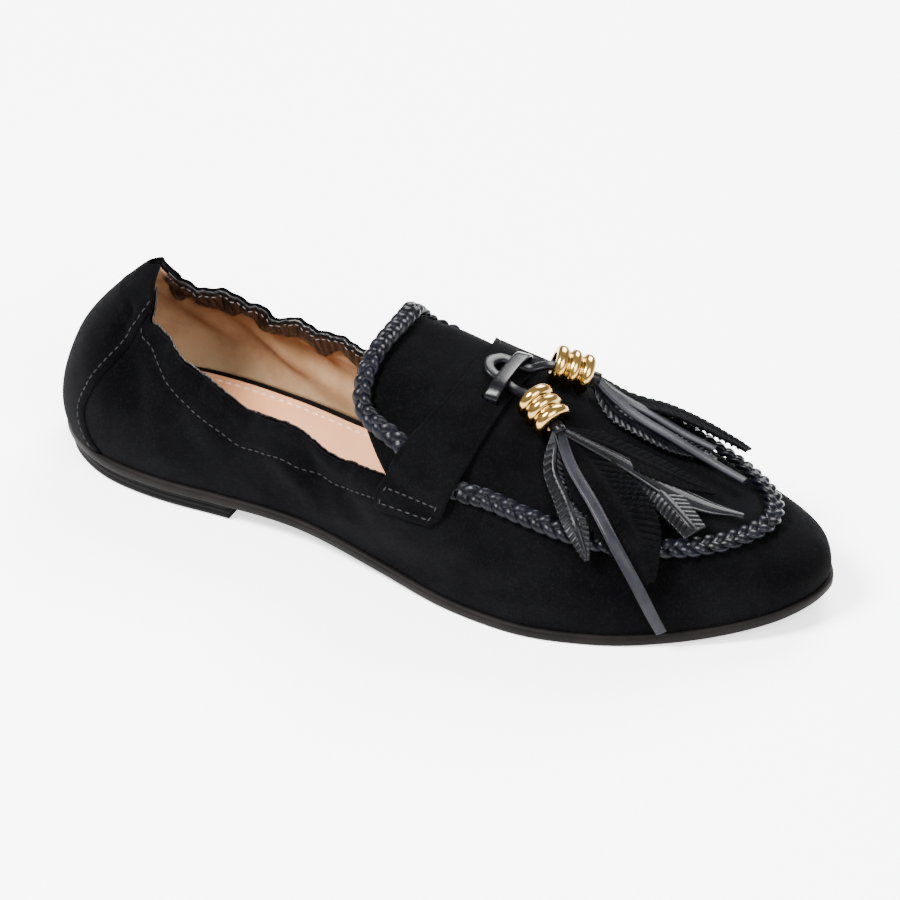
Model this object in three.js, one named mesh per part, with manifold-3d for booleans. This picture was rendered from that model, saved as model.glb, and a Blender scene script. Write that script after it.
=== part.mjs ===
// Suede loafer for the right foot, in millimetres.
// +X runs to the toe, +Y to the wearer's left (the medial side), +Z up; the floor is z = 0.
import * as THREE from "three";
import Module from "manifold-3d";

const wasm = await Module();
wasm.setup();

// Driving sizes.
const LENGTH = 248;
const BALL_WIDTH = 85;
const HEEL_WIDTH = 62;
const BACK_HEIGHT = 66;
const INSTEP_HEIGHT = 66;
const HEEL_RISE = 5.5;
const SOLE_THICKNESS = 3.5;
const TOE_SPRING = 7;
const ARCH_LEAD = 6;
const DRAW_BELOW = 28;
const DRAW_ABOVE = 2;
const WALL = 1.6;
const GAP = 0.3;
const SOLE_MARGIN = 1.2;
const HEEL_MARGIN = -0.6;
const FOOTBED_THICKNESS = 1.8;
const SOCK_THICKNESS = 1.2;
const SOCK_INSET = 4;
const COUNTER_THICKNESS = 0.9;
const BRAID_WIDTH = 5.4;
const BRAID_HEIGHT = 3.2;
const BRAID_PITCH = 5.2;
const BRAID_RELIEF = 0.1;
const PRESSED_SHARE = 0.5;
const STRAP_THICKNESS = 1.3;
const STRAP_RAMP = 7;
const STRAP_CORNER = 0.1;
const KEEPER_WIDTH = 4.4;
const KEEPER_THICKNESS = 1;
const TIE_WIDTH = 3.6;
const TIE_THICKNESS = 1.8;
const BEAD_RADIUS = 6.2;
const BEAD_LENGTH = 12;
const BEAD_BORE = 2.5;
const TASSEL_ROOT = 1.9;
const TASSEL_NECK = 3;
const LEAF_WIDTH = 20;
const LEAF_THICKNESS = 0.9;

// Stations along the shoe, as shares of the length.
const ORIGIN = 0.13;
const BREAST = 0.275;
const TREAD_START = 0.632;
const TREAD_END = 0.784;
const SPINE_HEEL = 0.12;
const SPINE_TOE = 0.824;
const SPINE_SOFTNESS = 0.088;
const TONGUE = 0.447;
const TONGUE_BOW = 0.016;
const JOIN = 0.508;
const STRAP_REAR = 0.5;
const STRAP_FRONT = 0.612;

// Half-widths of the last at its lower edge: shares of the heel width, then of the ball width.
const HEEL_OUTLINE = [
  { along: 0, lateral: 0, medial: 0 },
  { along: 0.012, lateral: 0.17, medial: 0.17 },
  { along: 0.045, lateral: 0.322, medial: 0.325 },
  { along: 0.1, lateral: 0.442, medial: 0.436 },
  { along: 0.18, lateral: 0.494, medial: 0.458 },
  { along: 0.27, lateral: 0.49, medial: 0.425 },
];
const FORE_OUTLINE = [
  { along: 0.38, lateral: 0.362, medial: 0.262 },
  { along: 0.49, lateral: 0.424, medial: 0.278 },
  { along: 0.6, lateral: 0.5, medial: 0.358 },
  { along: 0.7, lateral: 0.522, medial: 0.44 },
  { along: 0.78, lateral: 0.468, medial: 0.452 },
  { along: 0.86, lateral: 0.362, medial: 0.406 },
  { along: 0.925, lateral: 0.248, medial: 0.33 },
  { along: 0.97, lateral: 0.136, medial: 0.238 },
  { along: 0.993, lateral: 0.032, medial: 0.14 },
  { along: 1, lateral: -0.07, medial: 0.07 },
];

// The last above that edge: height of its ridge as a share of the instep height, sideways
// place of the ridge as a share of the ball width, squareness of the section, swell near the
// lower edge as a share of the half-width.
const SECTIONS = [
  { along: 0, height: 1.045, centre: 0, power: 1.62, swell: 0.045 },
  { along: 0.14, height: 1.045, centre: 0, power: 1.66, swell: 0.06 },
  { along: 0.24, height: 1.06, centre: 0.004, power: 2.05, swell: 0.09 },
  { along: 0.36, height: 1.055, centre: 0.016, power: 2.5, swell: 0.09 },
  { along: 0.45, height: 1.005, centre: 0.02, power: 2.8, swell: 0.08 },
  { along: 0.51, height: 0.945, centre: 0.022, power: 2.75, swell: 0.07 },
  { along: 0.58, height: 0.86, centre: 0.024, power: 2.6, swell: 0.05 },
  { along: 0.66, height: 0.755, centre: 0.026, power: 2.45, swell: 0.035 },
  { along: 0.74, height: 0.645, centre: 0.029, power: 2.35, swell: 0.028 },
  { along: 0.82, height: 0.54, centre: 0.032, power: 2.3, swell: 0.022 },
  { along: 1, height: 0.45, centre: 0.04, power: 2.3, swell: 0.02 },
];

// Upper rim of the quarters: height as a share of the back height, and how far its elastic
// draws it inwards as a share of the heel width.
const RIM = {
  lateral: [
    { along: 0, height: 1, draw: 0.08 },
    { along: 0.024, height: 0.985, draw: 0.1 },
    { along: 0.064, height: 0.89, draw: 0.12 },
    { along: 0.12, height: 0.76, draw: 0.12 },
    { along: 0.22, height: 0.65, draw: 0.1 },
    { along: 0.34, height: 0.565, draw: 0.06 },
    { along: 0.44, height: 0.535, draw: 0.03 },
    { along: 0.508, height: 0.55, draw: 0 },
  ],
  medial: [
    { along: 0, height: 1, draw: 0.08 },
    { along: 0.024, height: 0.985, draw: 0.09 },
    { along: 0.064, height: 0.9, draw: 0.1 },
    { along: 0.12, height: 0.78, draw: 0.1 },
    { along: 0.22, height: 0.7, draw: 0.1 },
    { along: 0.34, height: 0.63, draw: 0.1 },
    { along: 0.44, height: 0.62, draw: 0.05 },
    { along: 0.508, height: 0.67, draw: 0 },
  ],
};

function mix(a, b, t) {
  return a + (b - a) * t;
}

function smooth(from, to, value) {
  const t = Math.min(1, Math.max(0, (value - from) / (to - from)));
  return t * t * (3 - 2 * t);
}

// Reads a column of a table at a station, on a smooth curve through its rows.
function read(table, column, at, key = "along") {
  const last = table.length - 1;
  if (at <= table[0][key]) return table[0][column];
  if (at >= table[last][key]) return table[last][column];
  let low = 0;
  while (table[low + 1][key] <= at) low += 1;
  const rise = (k) => (table[k + 1][column] - table[k][column]) / (table[k + 1][key] - table[k][key]);
  const step = (k) => table[k + 1][key] - table[k][key];
  const slope = (k) => {
    if (k === 0) return rise(0);
    if (k === last) return rise(last - 1);
    return (rise(k - 1) * step(k) + rise(k) * step(k - 1)) / (step(k - 1) + step(k));
  };
  const h = step(low);
  const t = (at - table[low][key]) / h;
  const a = table[low][column];
  const b = table[low + 1][column];
  const blend = t * t * (3 - 2 * t);
  return mix(a, b, blend) + h * (t * (1 - t) * (1 - t) * slope(low) - t * t * (1 - t) * slope(low + 1));
}

// The outline is run through by an angle, so that its rounded ends come out round.
function angleAt(along) {
  return Math.acos(1 - 2 * along);
}

function alongAt(angle) {
  return (1 - Math.cos(angle)) / 2;
}

const OUTLINE = [
  ...HEEL_OUTLINE.map((row) => ({ ...row, width: HEEL_WIDTH })),
  ...FORE_OUTLINE.map((row) => ({ ...row, width: BALL_WIDTH })),
].map((row) => ({
  angle: angleAt(row.along),
  lateral: -row.lateral * row.width,
  medial: row.medial * row.width,
}));

// Underside of the sole above the floor: raised on the heel, flat at the tread, lifted at the toe.
function underside(x) {
  const arch = HEEL_RISE * (1 - smooth(BREAST * LENGTH + ARCH_LEAD, TREAD_START * LENGTH, x));
  const toe = Math.max(0, (x / LENGTH - TREAD_END) / (1 - TREAD_END));
  return arch + TOE_SPRING * toe * toe;
}

function seat(x) {
  return underside(x) + SOLE_THICKNESS + GAP;
}

// A point of the outline in plan, moved outwards by a margin. Side is "lateral" or "medial".
function outline(angle, side, margin = 0) {
  const place = (at) => new THREE.Vector2(alongAt(at) * LENGTH, read(OUTLINE, side, at, "angle"));
  const small = 0.002;
  const run = place(Math.min(Math.PI, angle + small)).sub(place(Math.max(0, angle - small)));
  const turn = side === "lateral" ? 1 : -1;
  const out = new THREE.Vector2(run.y, -run.x).normalize().multiplyScalar(turn);
  if (angle < small) out.set(-1, 0);
  if (angle > Math.PI - small) out.set(1, 0);
  return place(angle).addScaledVector(out, margin);
}

// Centre that a station of the outline climbs towards; it stops short of heel and toe.
function centreOf(along) {
  let c = (along + SPINE_HEEL + Math.hypot(along - SPINE_HEEL, SPINE_SOFTNESS)) / 2;
  c = (c + SPINE_TOE - Math.hypot(c - SPINE_TOE, SPINE_SOFTNESS)) / 2;
  return c;
}

// A point of the last's skin: climb is 0 at the lower edge and 1 on the ridge.
function skin(angle, side, climb) {
  const foot = outline(angle, side);
  const along = foot.x / LENGTH;
  const middle = centreOf(along);
  const centre = new THREE.Vector2(middle * LENGTH, read(SECTIONS, "centre", middle) * BALL_WIDTH);
  const away = foot.clone().sub(centre);
  const radius = away.length();
  away.normalize();
  const low = seat(foot.x);
  const tall = read(SECTIONS, "height", middle) * INSTEP_HEIGHT - low;
  const power = 2 / read(SECTIONS, "power", middle);
  const turn = (climb * Math.PI) / 2;
  const swell = (climb * (1 - climb) ** 5) / ((1 / 6) * (5 / 6) ** 5);
  let reach = Math.max(0, Math.cos(turn)) ** power + read(SECTIONS, "swell", middle) * swell;
  reach *= radius;
  let z = low + tall * Math.sin(turn) ** power;
  if (along < JOIN) {
    const rim = read(RIM[side], "height", along) * BACK_HEIGHT;
    const draw = read(RIM[side], "draw", along) * HEEL_WIDTH;
    reach = Math.max(0, reach - draw * smooth(rim - DRAW_BELOW, rim + DRAW_ABOVE, z));
  }
  const grade = (read(SECTIONS, "height", middle + 0.004) - read(SECTIONS, "height", middle - 0.004));
  const share = Math.min(1, reach / radius);
  z += (grade * INSTEP_HEIGHT * reach * away.x * (1 - share * share)) / (0.008 * LENGTH);
  return new THREE.Vector3(centre.x + away.x * reach, centre.y + away.y * reach, z);
}

function climbTo(angle, side, height) {
  let low = 0;
  let high = 1;
  for (let i = 0; i < 40; i += 1) {
    const middle = (low + high) / 2;
    if (skin(angle, side, middle).z < height) low = middle;
    else high = middle;
  }
  return (low + high) / 2;
}

function rimClimb(angle, side) {
  return climbTo(angle, side, read(RIM[side], "height", alongAt(angle)) * BACK_HEIGHT);
}

// A surface is a list of points and a list of triangles that face outwards.
function grid(rows) {
  const points = rows.flat();
  const faces = [];
  const wide = rows[0].length;
  for (let j = 0; j + 1 < rows.length; j += 1) {
    for (let i = 0; i + 1 < wide; i += 1) {
      const a = j * wide + i;
      faces.push([a, a + 1, a + wide + 1], [a, a + wide + 1, a + wide]);
    }
  }
  return { points, faces };
}

function flip(surface) {
  return { points: surface.points, faces: surface.faces.map(([a, b, c]) => [a, c, b]) };
}

// Joins surfaces where their points meet and drops triangles that have no area.
function weld(surfaces) {
  const points = [];
  const faces = [];
  const known = new Map();
  for (const surface of surfaces) {
    const place = surface.points.map((point) => {
      const key = [point.x, point.y, point.z].map((value) => Math.round(value * 500)).join(" ");
      if (!known.has(key)) {
        known.set(key, points.length);
        points.push(point.clone());
      }
      return known.get(key);
    });
    for (const face of surface.faces) {
      const [a, b, c] = face.map((index) => place[index]);
      if (a !== b && b !== c && c !== a) faces.push([a, b, c]);
    }
  }
  return { points, faces };
}

function normals(surface) {
  const sums = surface.points.map(() => new THREE.Vector3());
  for (const [a, b, c] of surface.faces) {
    const [p, q, r] = [surface.points[a], surface.points[b], surface.points[c]];
    const area = q.clone().sub(p).cross(r.clone().sub(p));
    for (const index of [a, b, c]) sums[index].add(area);
  }
  return sums.map((sum) => sum.normalize());
}

// Gives an open surface a wall between two distances along its own normals.
function thicken(surface, inner, outer) {
  const out = normals(surface);
  const count = surface.points.length;
  const layer = (depth) => surface.points.map((point, i) => point.clone().addScaledVector(out[i], depth));
  const faces = [...surface.faces, ...surface.faces.map(([a, b, c]) => [a + count, c + count, b + count])];
  const edges = new Set(surface.faces.flatMap(([a, b, c]) => [`${a} ${b}`, `${b} ${c}`, `${c} ${a}`]));
  for (const edge of edges) {
    const [a, b] = edge.split(" ").map(Number);
    if (!edges.has(`${b} ${a}`)) faces.push([b, a, a + count], [b, a + count, b + count]);
  }
  return { points: [...layer(outer), ...layer(inner)], faces };
}

const shoe = new THREE.Group();
shoe.name = "loafer";

function addPiece(name, surface, colour, roughness, metalness = 0) {
  const geometry = new THREE.BufferGeometry();
  const shift = ORIGIN * LENGTH;
  const flat = surface.points.flatMap((point) => [point.x - shift, point.y, point.z]);
  geometry.setAttribute("position", new THREE.Float32BufferAttribute(flat, 3));
  geometry.setIndex(surface.faces.flat());
  geometry.computeVertexNormals();
  const mesh = new THREE.Mesh(geometry, new THREE.MeshStandardMaterial({ color: colour, roughness, metalness }));
  mesh.name = name;
  shoe.add(mesh);
}

// A plate with the outline of the last plus a margin, between two heights, from heel to a station.
function plate(margin, bottom, top, end, steps) {
  const low = { lateral: [], medial: [] };
  const high = { lateral: [], medial: [] };
  for (let i = 0; i <= steps; i += 1) {
    const angle = (angleAt(end) * i) / steps;
    for (const side of ["lateral", "medial"]) {
      const { x, y } = outline(angle, side, margin);
      low[side].push(new THREE.Vector3(x, y, bottom(x)));
      high[side].push(new THREE.Vector3(x, y, top(x)));
    }
  }
  const closing = grid([
    [low.lateral.at(-1), low.medial.at(-1)],
    [high.lateral.at(-1), high.medial.at(-1)],
  ]);
  return weld([
    grid([high.lateral, high.medial]),
    flip(grid([low.lateral, low.medial])),
    grid([low.lateral, high.lateral]),
    flip(grid([low.medial, high.medial])),
    closing,
  ]);
}

// Outsole with its arch and toe spring.
addPiece("outsole", plate(SOLE_MARGIN, underside, (x) => underside(x) + SOLE_THICKNESS, 1, 56), 0x3a3435, 0.6);

// Low heel block; its breast is a straight face across the waist.
addPiece("heel", plate(HEEL_MARGIN, () => 0, () => HEEL_RISE - GAP, BREAST, 20), 0x2a2627, 0.65);

// Footbed inside the wall of the upper, and the pad on it.
const footbedTop = (x) => seat(x) + FOOTBED_THICKNESS;
addPiece("footbed", plate(-WALL - 2 * GAP, seat, footbedTop, 1, 48), 0x141315, 0.6);
const sockBase = (x) => footbedTop(x) + GAP;
const sockTop = (x) => sockBase(x) + SOCK_THICKNESS;
addPiece("insole_pad", plate(-WALL - SOCK_INSET, sockBase, sockTop, 1, 48), 0xd9b394, 0.7);

// Upper: quarters from the heel to the join, then the vamp and tongue over the whole arch.
const QUARTER_STEPS = 18;
const VAMP_STEPS = 19;
const LOW_ROWS = 7;
const TONGUE_ROWS = 6;
const joinAngle = angleAt(JOIN);
const joinClimb = { lateral: rimClimb(joinAngle, "lateral"), medial: rimClimb(joinAngle, "medial") };

function quarter(side) {
  const rows = [];
  for (let k = 0; k <= LOW_ROWS; k += 1) {
    const row = [];
    for (let i = 0; i <= QUARTER_STEPS; i += 1) {
      const angle = (joinAngle * i) / QUARTER_STEPS;
      row.push(skin(angle, side, (rimClimb(angle, side) * k) / LOW_ROWS));
    }
    rows.push(row);
  }
  return side === "lateral" ? grid(rows) : flip(grid(rows));
}

// Rear edge of the tongue, as a station, at a share of the way from its middle to the join;
// it bows back on both sides.
function tongueEdge(share) {
  const square = share * share;
  return mix(TONGUE, JOIN, Math.abs(share) ** 3.4) - TONGUE_BOW * 4 * square * (1 - square);
}

// The rows start at the join's own climb on each side and meet at one climb on the toe.
function vamp(side) {
  const toeClimb = (joinClimb.lateral + joinClimb.medial) / 2;
  const rows = [];
  for (let k = 0; k <= LOW_ROWS + TONGUE_ROWS; k += 1) {
    const low = Math.min(1, k / LOW_ROWS);
    const above = Math.max(0, (k - LOW_ROWS) / TONGUE_ROWS);
    const start = k <= LOW_ROWS ? joinAngle : angleAt(tongueEdge(1 - above));
    const row = [];
    for (let i = 0; i <= VAMP_STEPS; i += 1) {
      const share = i / VAMP_STEPS;
      const climb = mix(mix(joinClimb[side], toeClimb, share) * low, 1, above);
      row.push(skin(mix(start, Math.PI, share), side, climb));
    }
    rows.push(row);
  }
  return side === "lateral" ? grid(rows) : flip(grid(rows));
}

const upperSkin = weld([quarter("lateral"), quarter("medial"), vamp("lateral"), vamp("medial")]);
addPiece("upper", thicken(upperSkin, -WALL, 0), 0x1b1b1f, 0.9);

// Outward direction of the skin.
function outward(angle, side, climb) {
  const small = 0.01;
  const run = skin(Math.min(Math.PI, angle + small), side, climb);
  run.sub(skin(Math.max(0, angle - small), side, climb));
  const rise = skin(angle, side, Math.min(1, climb + small));
  rise.sub(skin(angle, side, Math.max(0, climb - small)));
  return run.cross(rise).normalize().multiplyScalar(side === "lateral" ? 1 : -1);
}

// Place on the last, raised along the outward direction; both sides agree on the ridge.
function onLast({ along, side, climb, lift = 0 }) {
  const angle = angleAt(along);
  const normal = outward(angle, side, climb);
  if (climb > 0.999) normal.add(outward(angle, side === "lateral" ? "medial" : "lateral", climb)).normalize();
  const point = skin(angle, side, climb).addScaledVector(normal, lift);
  return { point, normal };
}

// A smooth route over the last through rows of stations, as evenly spaced frames.
function route(rows, count, closed = false) {
  const placed = rows.map((row) => row.placed ?? onLast(row));
  const line = new THREE.CatmullRomCurve3(placed.map((row) => row.point), closed, "centripetal");
  const lean = new THREE.CatmullRomCurve3(placed.map((row) => row.normal), closed, "centripetal");
  const frames = [];
  for (let i = 0; i < count + (closed ? 0 : 1); i += 1) {
    const t = line.getUtoTmapping(i / count);
    const ahead = line.getTangent(t);
    const across = lean.getPoint(t).cross(ahead).normalize();
    const up = ahead.clone().cross(across);
    frames.push({ point: line.getPoint(t), ahead, across, up });
  }
  frames.length_mm = line.getLength();
  return frames;
}

// A rounded bar along frames; half-sizes come from a function of the station and the angle.
function bar(frames, sides, size, closed = false) {
  const rings = frames.map((frame, k) => {
    const ring = [];
    for (let j = 0; j < sides; j += 1) {
      const turn = (2 * Math.PI * (j + 0.5)) / sides;
      const { width, height } = size(k, turn);
      const point = frame.point.clone().addScaledVector(frame.across, (Math.cos(turn) * width) / 2);
      ring.push(point.addScaledVector(frame.up, (Math.sin(turn) * height) / 2));
    }
    ring.push(ring[0].clone());
    return ring;
  });
  if (closed) return weld([grid([...rings, rings[0]])]);
  const cap = (ring, centre, turned) => {
    const faces = ring.slice(1).map((_, j) => (turned ? [0, j + 2, j + 1] : [0, j + 1, j + 2]));
    return { points: [centre, ...ring], faces };
  };
  const ends = [cap(rings[0], frames[0].point, true), cap(rings.at(-1), frames.at(-1).point, false)];
  return weld([grid(rings), ...ends]);
}

function asBody(surface) {
  const vertProperties = new Float32Array(surface.points.flatMap((point) => [point.x, point.y, point.z]));
  const triVerts = new Uint32Array(surface.faces.flat());
  return new wasm.Manifold(new wasm.Mesh({ numProp: 3, vertProperties, triVerts }));
}

function asSurface(body) {
  const mesh = body.getMesh();
  const points = [];
  for (let i = 0; i < mesh.vertProperties.length; i += mesh.numProp) {
    points.push(new THREE.Vector3(...mesh.vertProperties.slice(i, i + 3)));
  }
  const faces = [];
  for (let i = 0; i < mesh.triVerts.length; i += 3) faces.push([...mesh.triVerts.slice(i, i + 3)]);
  return weld([{ points, faces }]);
}

// Heel counter: a patch behind a curved seam, a step above the quarters.
const COUNTER_SEAM = [
  { climb: 0, along: 0.1 },
  { climb: 0.09, along: 0.078 },
  { climb: 0.16, along: 0.068 },
  { climb: 0.28, along: 0.076 },
  { climb: 0.4, along: 0.088 },
  { climb: 0.7, along: 0.1 },
];
const COUNTER_FOOT = 0.02;
const COUNTER_ROWS = 7;
const COUNTER_STEPS = 6;

function counter(side) {
  const rows = [];
  for (let k = 0; k <= COUNTER_ROWS; k += 1) {
    const row = [];
    for (let i = 0; i <= COUNTER_STEPS; i += 1) {
      const seam = (at) => read(COUNTER_SEAM, "along", at, "climb");
      let climb = 0.4;
      let angle = 0;
      for (let pass = 0; pass < 4; pass += 1) {
        angle = (angleAt(seam(climb)) * i) / COUNTER_STEPS;
        climb = mix(COUNTER_FOOT, rimClimb(angle, side), k / COUNTER_ROWS);
      }
      const { point, normal } = onLast({ along: alongAt(angle), side, climb, lift: 0 });
      if (i === 0) normal.y = 0;
      row.push(point.addScaledVector(normal.normalize(), GAP));
    }
    rows.push(row);
  }
  return side === "lateral" ? grid(rows) : flip(grid(rows));
}

addPiece("heel_counter", thicken(weld([counter("lateral"), counter("medial")]), 0, COUNTER_THICKNESS), 0x1a1a1e, 0.9);

// Plaited cord: up the tongue's edge, under the strap, and round the apron behind the toe.
const BRAID_ROUTE = [
  { side: "lateral", along: 0.518, climb: 0.445 },
  { side: "lateral", along: 0.556, climb: 0.42 },
  { side: "lateral", along: 0.596, climb: 0.415 },
  { side: "lateral", along: 0.64, climb: 0.45 },
  { side: "lateral", along: 0.69, climb: 0.462 },
  { side: "lateral", along: 0.748, climb: 0.464 },
  { side: "lateral", along: 0.8, climb: 0.475 },
  { side: "lateral", along: 0.849, climb: 0.495 },
  { side: "lateral", along: 0.897, climb: 0.52 },
  { side: "lateral", along: 0.955, climb: 0.57 },
  { side: "lateral", along: 0.999, climb: 0.61 },
  { side: "medial", along: 0.985, climb: 0.61 },
  { side: "medial", along: 0.95, climb: 0.6 },
  { side: "medial", along: 0.9, climb: 0.58 },
  { side: "medial", along: 0.85, climb: 0.55 },
  { side: "medial", along: 0.79, climb: 0.53 },
  { side: "medial", along: 0.72, climb: 0.52 },
  { side: "medial", along: 0.65, climb: 0.5 },
  { side: "medial", along: 0.596, climb: 0.48 },
  { side: "medial", along: 0.556, climb: 0.48 },
  { side: "medial", along: 0.518, climb: 0.5 },
];
// On the tongue it follows the tongue's own edge, set in by a share of the length.
const TONGUE_STATIONS = [0.72, 0.52, 0.3, 0.12];
const BRAID_INSET = 0.009;

function tongueRow(side, share) {
  return { side, along: tongueEdge(share) + BRAID_INSET, climb: mix(1, joinClimb[side], share) };
}

const braidLift = GAP + BRAID_HEIGHT / 2;
const braidRows = [
  ...BRAID_ROUTE,
  ...TONGUE_STATIONS.map((share) => tongueRow("medial", share)),
  ...TONGUE_STATIONS.toReversed().map((share) => tongueRow("lateral", share)),
].map((row) => ({ ...row, lift: braidLift }));
const braidLength = route(braidRows, 8, true).length_mm;
const braidTurns = Math.round(braidLength / BRAID_PITCH);
const braidFrames = route(braidRows, braidTurns * 3, true);

// The strap presses the cord flat; share is 1 under its middle and 0 away from it.
function pressed(point) {
  const middle = (STRAP_REAR + STRAP_FRONT) * 0.5 * LENGTH;
  const half = (STRAP_FRONT - STRAP_REAR) * 0.5 * LENGTH;
  return 1 - smooth(half, half + BRAID_WIDTH, Math.abs(point.x - middle));
}

function strandSize(k, turn) {
  const frame = braidFrames[k];
  const sideways = Math.cos(turn);
  const phase = (2 * Math.PI * k) / 3 + 2.2 * Math.abs(sideways) + (sideways < 0 ? Math.PI : 0);
  const raised = 1 + BRAID_RELIEF * Math.cos(phase);
  const flat = mix(1, PRESSED_SHARE, pressed(frame.point));
  return { width: BRAID_WIDTH * raised, height: BRAID_HEIGHT * raised * flat };
}

for (const frame of braidFrames) {
  const sink = (BRAID_HEIGHT * (1 - mix(1, PRESSED_SHARE, pressed(frame.point)))) / 2;
  frame.point.addScaledVector(frame.up, -sink);
}
addPiece("braid", bar(braidFrames, 8, strandSize, true), 0x23232c, 0.35);

// Saddle strap: edges as stations at each climb, arched over the pressed cord.
const STRAP_EDGES = [
  { climb: 0.15, rear: 0.492, front: 0.574 },
  { climb: 0.22, rear: 0.496, front: 0.58 },
  { climb: 0.3, rear: 0.507, front: 0.589 },
  { climb: 0.42, rear: 0.52, front: 0.598 },
  { climb: 0.6, rear: 0.537, front: 0.607 },
  { climb: 0.8, rear: 0.552, front: 0.613 },
  { climb: 1, rear: 0.555, front: 0.615 },
];
const STRAP_END = { rear: 0.152, front: 0.228 };
const STRAP_ROWS = 15;
const STRAP_COLUMNS = 6;

function arch(point) {
  let near = Infinity;
  for (const frame of braidFrames) near = Math.min(near, frame.point.distanceTo(point));
  const clear = PRESSED_SHARE * BRAID_HEIGHT * (1 + BRAID_RELIEF) + GAP;
  const half = (BRAID_WIDTH * (1 + BRAID_RELIEF)) / 2 + GAP;
  return clear * (1 - smooth(half, half + STRAP_RAMP, near));
}

function strapRow(side, share) {
  const row = [];
  const corner = STRAP_CORNER * Math.max(0, 1 - share / 0.06) ** 2;
  for (let i = 0; i <= STRAP_COLUMNS; i += 1) {
    const u = mix(corner, 1 - corner, i / STRAP_COLUMNS);
    const climb = mix(mix(STRAP_END.rear, STRAP_END.front, u), 1, share);
    const along = mix(read(STRAP_EDGES, "rear", climb, "climb"), read(STRAP_EDGES, "front", climb, "climb"), u);
    const { point, normal } = onLast({ side, along, climb });
    row.push(point.clone().addScaledVector(normal, GAP + arch(point)));
  }
  return row;
}

function strapHalf(side) {
  const shares = [0, 0.025, 0.06];
  for (let k = 1; k <= STRAP_ROWS; k += 1) shares.push(mix(0.06, 1, k / STRAP_ROWS));
  const rows = shares.map((share) => strapRow(side, share));
  return side === "lateral" ? grid(rows) : flip(grid(rows));
}

// Two slots near the front edge let the keeper's ends through.
const KEEPER = 0.596;
const KEEPER_END = { lateral: 0.85, medial: 0.875 };
const strapTop = GAP + STRAP_THICKNESS;

function slot(side) {
  const frames = route([
    { side, along: KEEPER, climb: KEEPER_END[side], lift: -GAP },
    { side, along: KEEPER, climb: KEEPER_END[side], lift: strapTop + GAP * 3 },
  ], 1);
  const { point, normal } = onLast({ side, along: KEEPER, climb: KEEPER_END[side] });
  const forward = new THREE.Vector3(1, 0, 0).addScaledVector(normal, -normal.x).normalize();
  const sideways = normal.clone().cross(forward);
  const corners = [[-1, -1], [1, -1], [1, 1], [-1, 1], [-1, -1]];
  const rings = [frames[0].point, frames[1].point].map((centre) => corners.map(([a, b]) => {
    const place = centre.clone().addScaledVector(forward, a * (KEEPER_WIDTH / 2 + GAP));
    return place.addScaledVector(sideways, b * (KEEPER_THICKNESS / 2 + GAP));
  }));
  const lid = (ring, turned) => ({ points: ring, faces: turned ? [[0, 2, 1], [0, 3, 2]] : [[0, 1, 2], [0, 2, 3]] });
  return weld([grid(rings), lid(rings[0], true), lid(rings[1], false)]);
}

const strapSkin = thicken(weld([strapHalf("lateral"), strapHalf("medial")]), 0, STRAP_THICKNESS);
const strap = asBody(strapSkin).subtract(asBody(slot("lateral"))).subtract(asBody(slot("medial")));
addPiece("saddle_strap", asSurface(strap), 0x1c1c20, 0.9);

// Keeper: a short flat bar over the tie, its ends in the slots.
const keeperTop = strapTop + 3 * GAP + TIE_THICKNESS + KEEPER_THICKNESS / 2;
const keeperFrames = route([
  { side: "lateral", along: KEEPER, climb: KEEPER_END.lateral, lift: GAP * 2 },
  { side: "lateral", along: KEEPER, climb: KEEPER_END.lateral, lift: mix(strapTop, keeperTop, 0.4) },
  { side: "lateral", along: KEEPER, climb: 0.893, lift: keeperTop },
  { side: "lateral", along: KEEPER, climb: 1, lift: keeperTop },
  { side: "medial", along: KEEPER, climb: 0.925, lift: keeperTop },
  { side: "medial", along: KEEPER, climb: KEEPER_END.medial, lift: mix(strapTop, keeperTop, 0.4) },
  { side: "medial", along: KEEPER, climb: KEEPER_END.medial, lift: GAP * 2 },
], 15);
const keeperForward = new THREE.Vector3(1, 0, 0);
for (const frame of keeperFrames) {
  frame.across = keeperForward.clone().addScaledVector(frame.ahead, -keeperForward.dot(frame.ahead)).normalize();
  frame.up = frame.ahead.clone().cross(frame.across);
}
addPiece("lace_keeper", bar(keeperFrames, 8, () => ({ width: KEEPER_WIDTH, height: KEEPER_THICKNESS })), 0x2c2c33, 0.35);

// Tie: a loop lying on the strap under the keeper, both legs running into the beads.
const tieLift = strapTop + GAP + TIE_THICKNESS / 2;
const beadLift = GAP * 2 + BEAD_RADIUS;
const tieFrames = route([
  { side: "lateral", along: 0.647, climb: 0.893, lift: beadLift },
  { side: "lateral", along: 0.632, climb: 0.912, lift: mix(tieLift, beadLift, 0.75) },
  { side: "lateral", along: 0.612, climb: 0.935, lift: tieLift + GAP },
  { side: "lateral", along: KEEPER, climb: 0.948, lift: tieLift },
  { side: "lateral", along: 0.578, climb: 0.958, lift: tieLift },
  { side: "lateral", along: 0.571, climb: 0.985, lift: tieLift },
  { side: "medial", along: 0.578, climb: 0.985, lift: tieLift },
  { side: "medial", along: KEEPER, climb: 0.97, lift: tieLift },
  { side: "medial", along: 0.612, climb: 0.955, lift: tieLift + GAP },
  { side: "medial", along: 0.628, climb: 0.925, lift: mix(tieLift, beadLift, 0.75) },
  { side: "medial", along: 0.642, climb: 0.9, lift: beadLift },
], 30);
addPiece("tie", bar(tieFrames, 6, () => ({ width: TIE_WIDTH, height: TIE_THICKNESS })), 0x2a2a32, 0.35);

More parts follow.
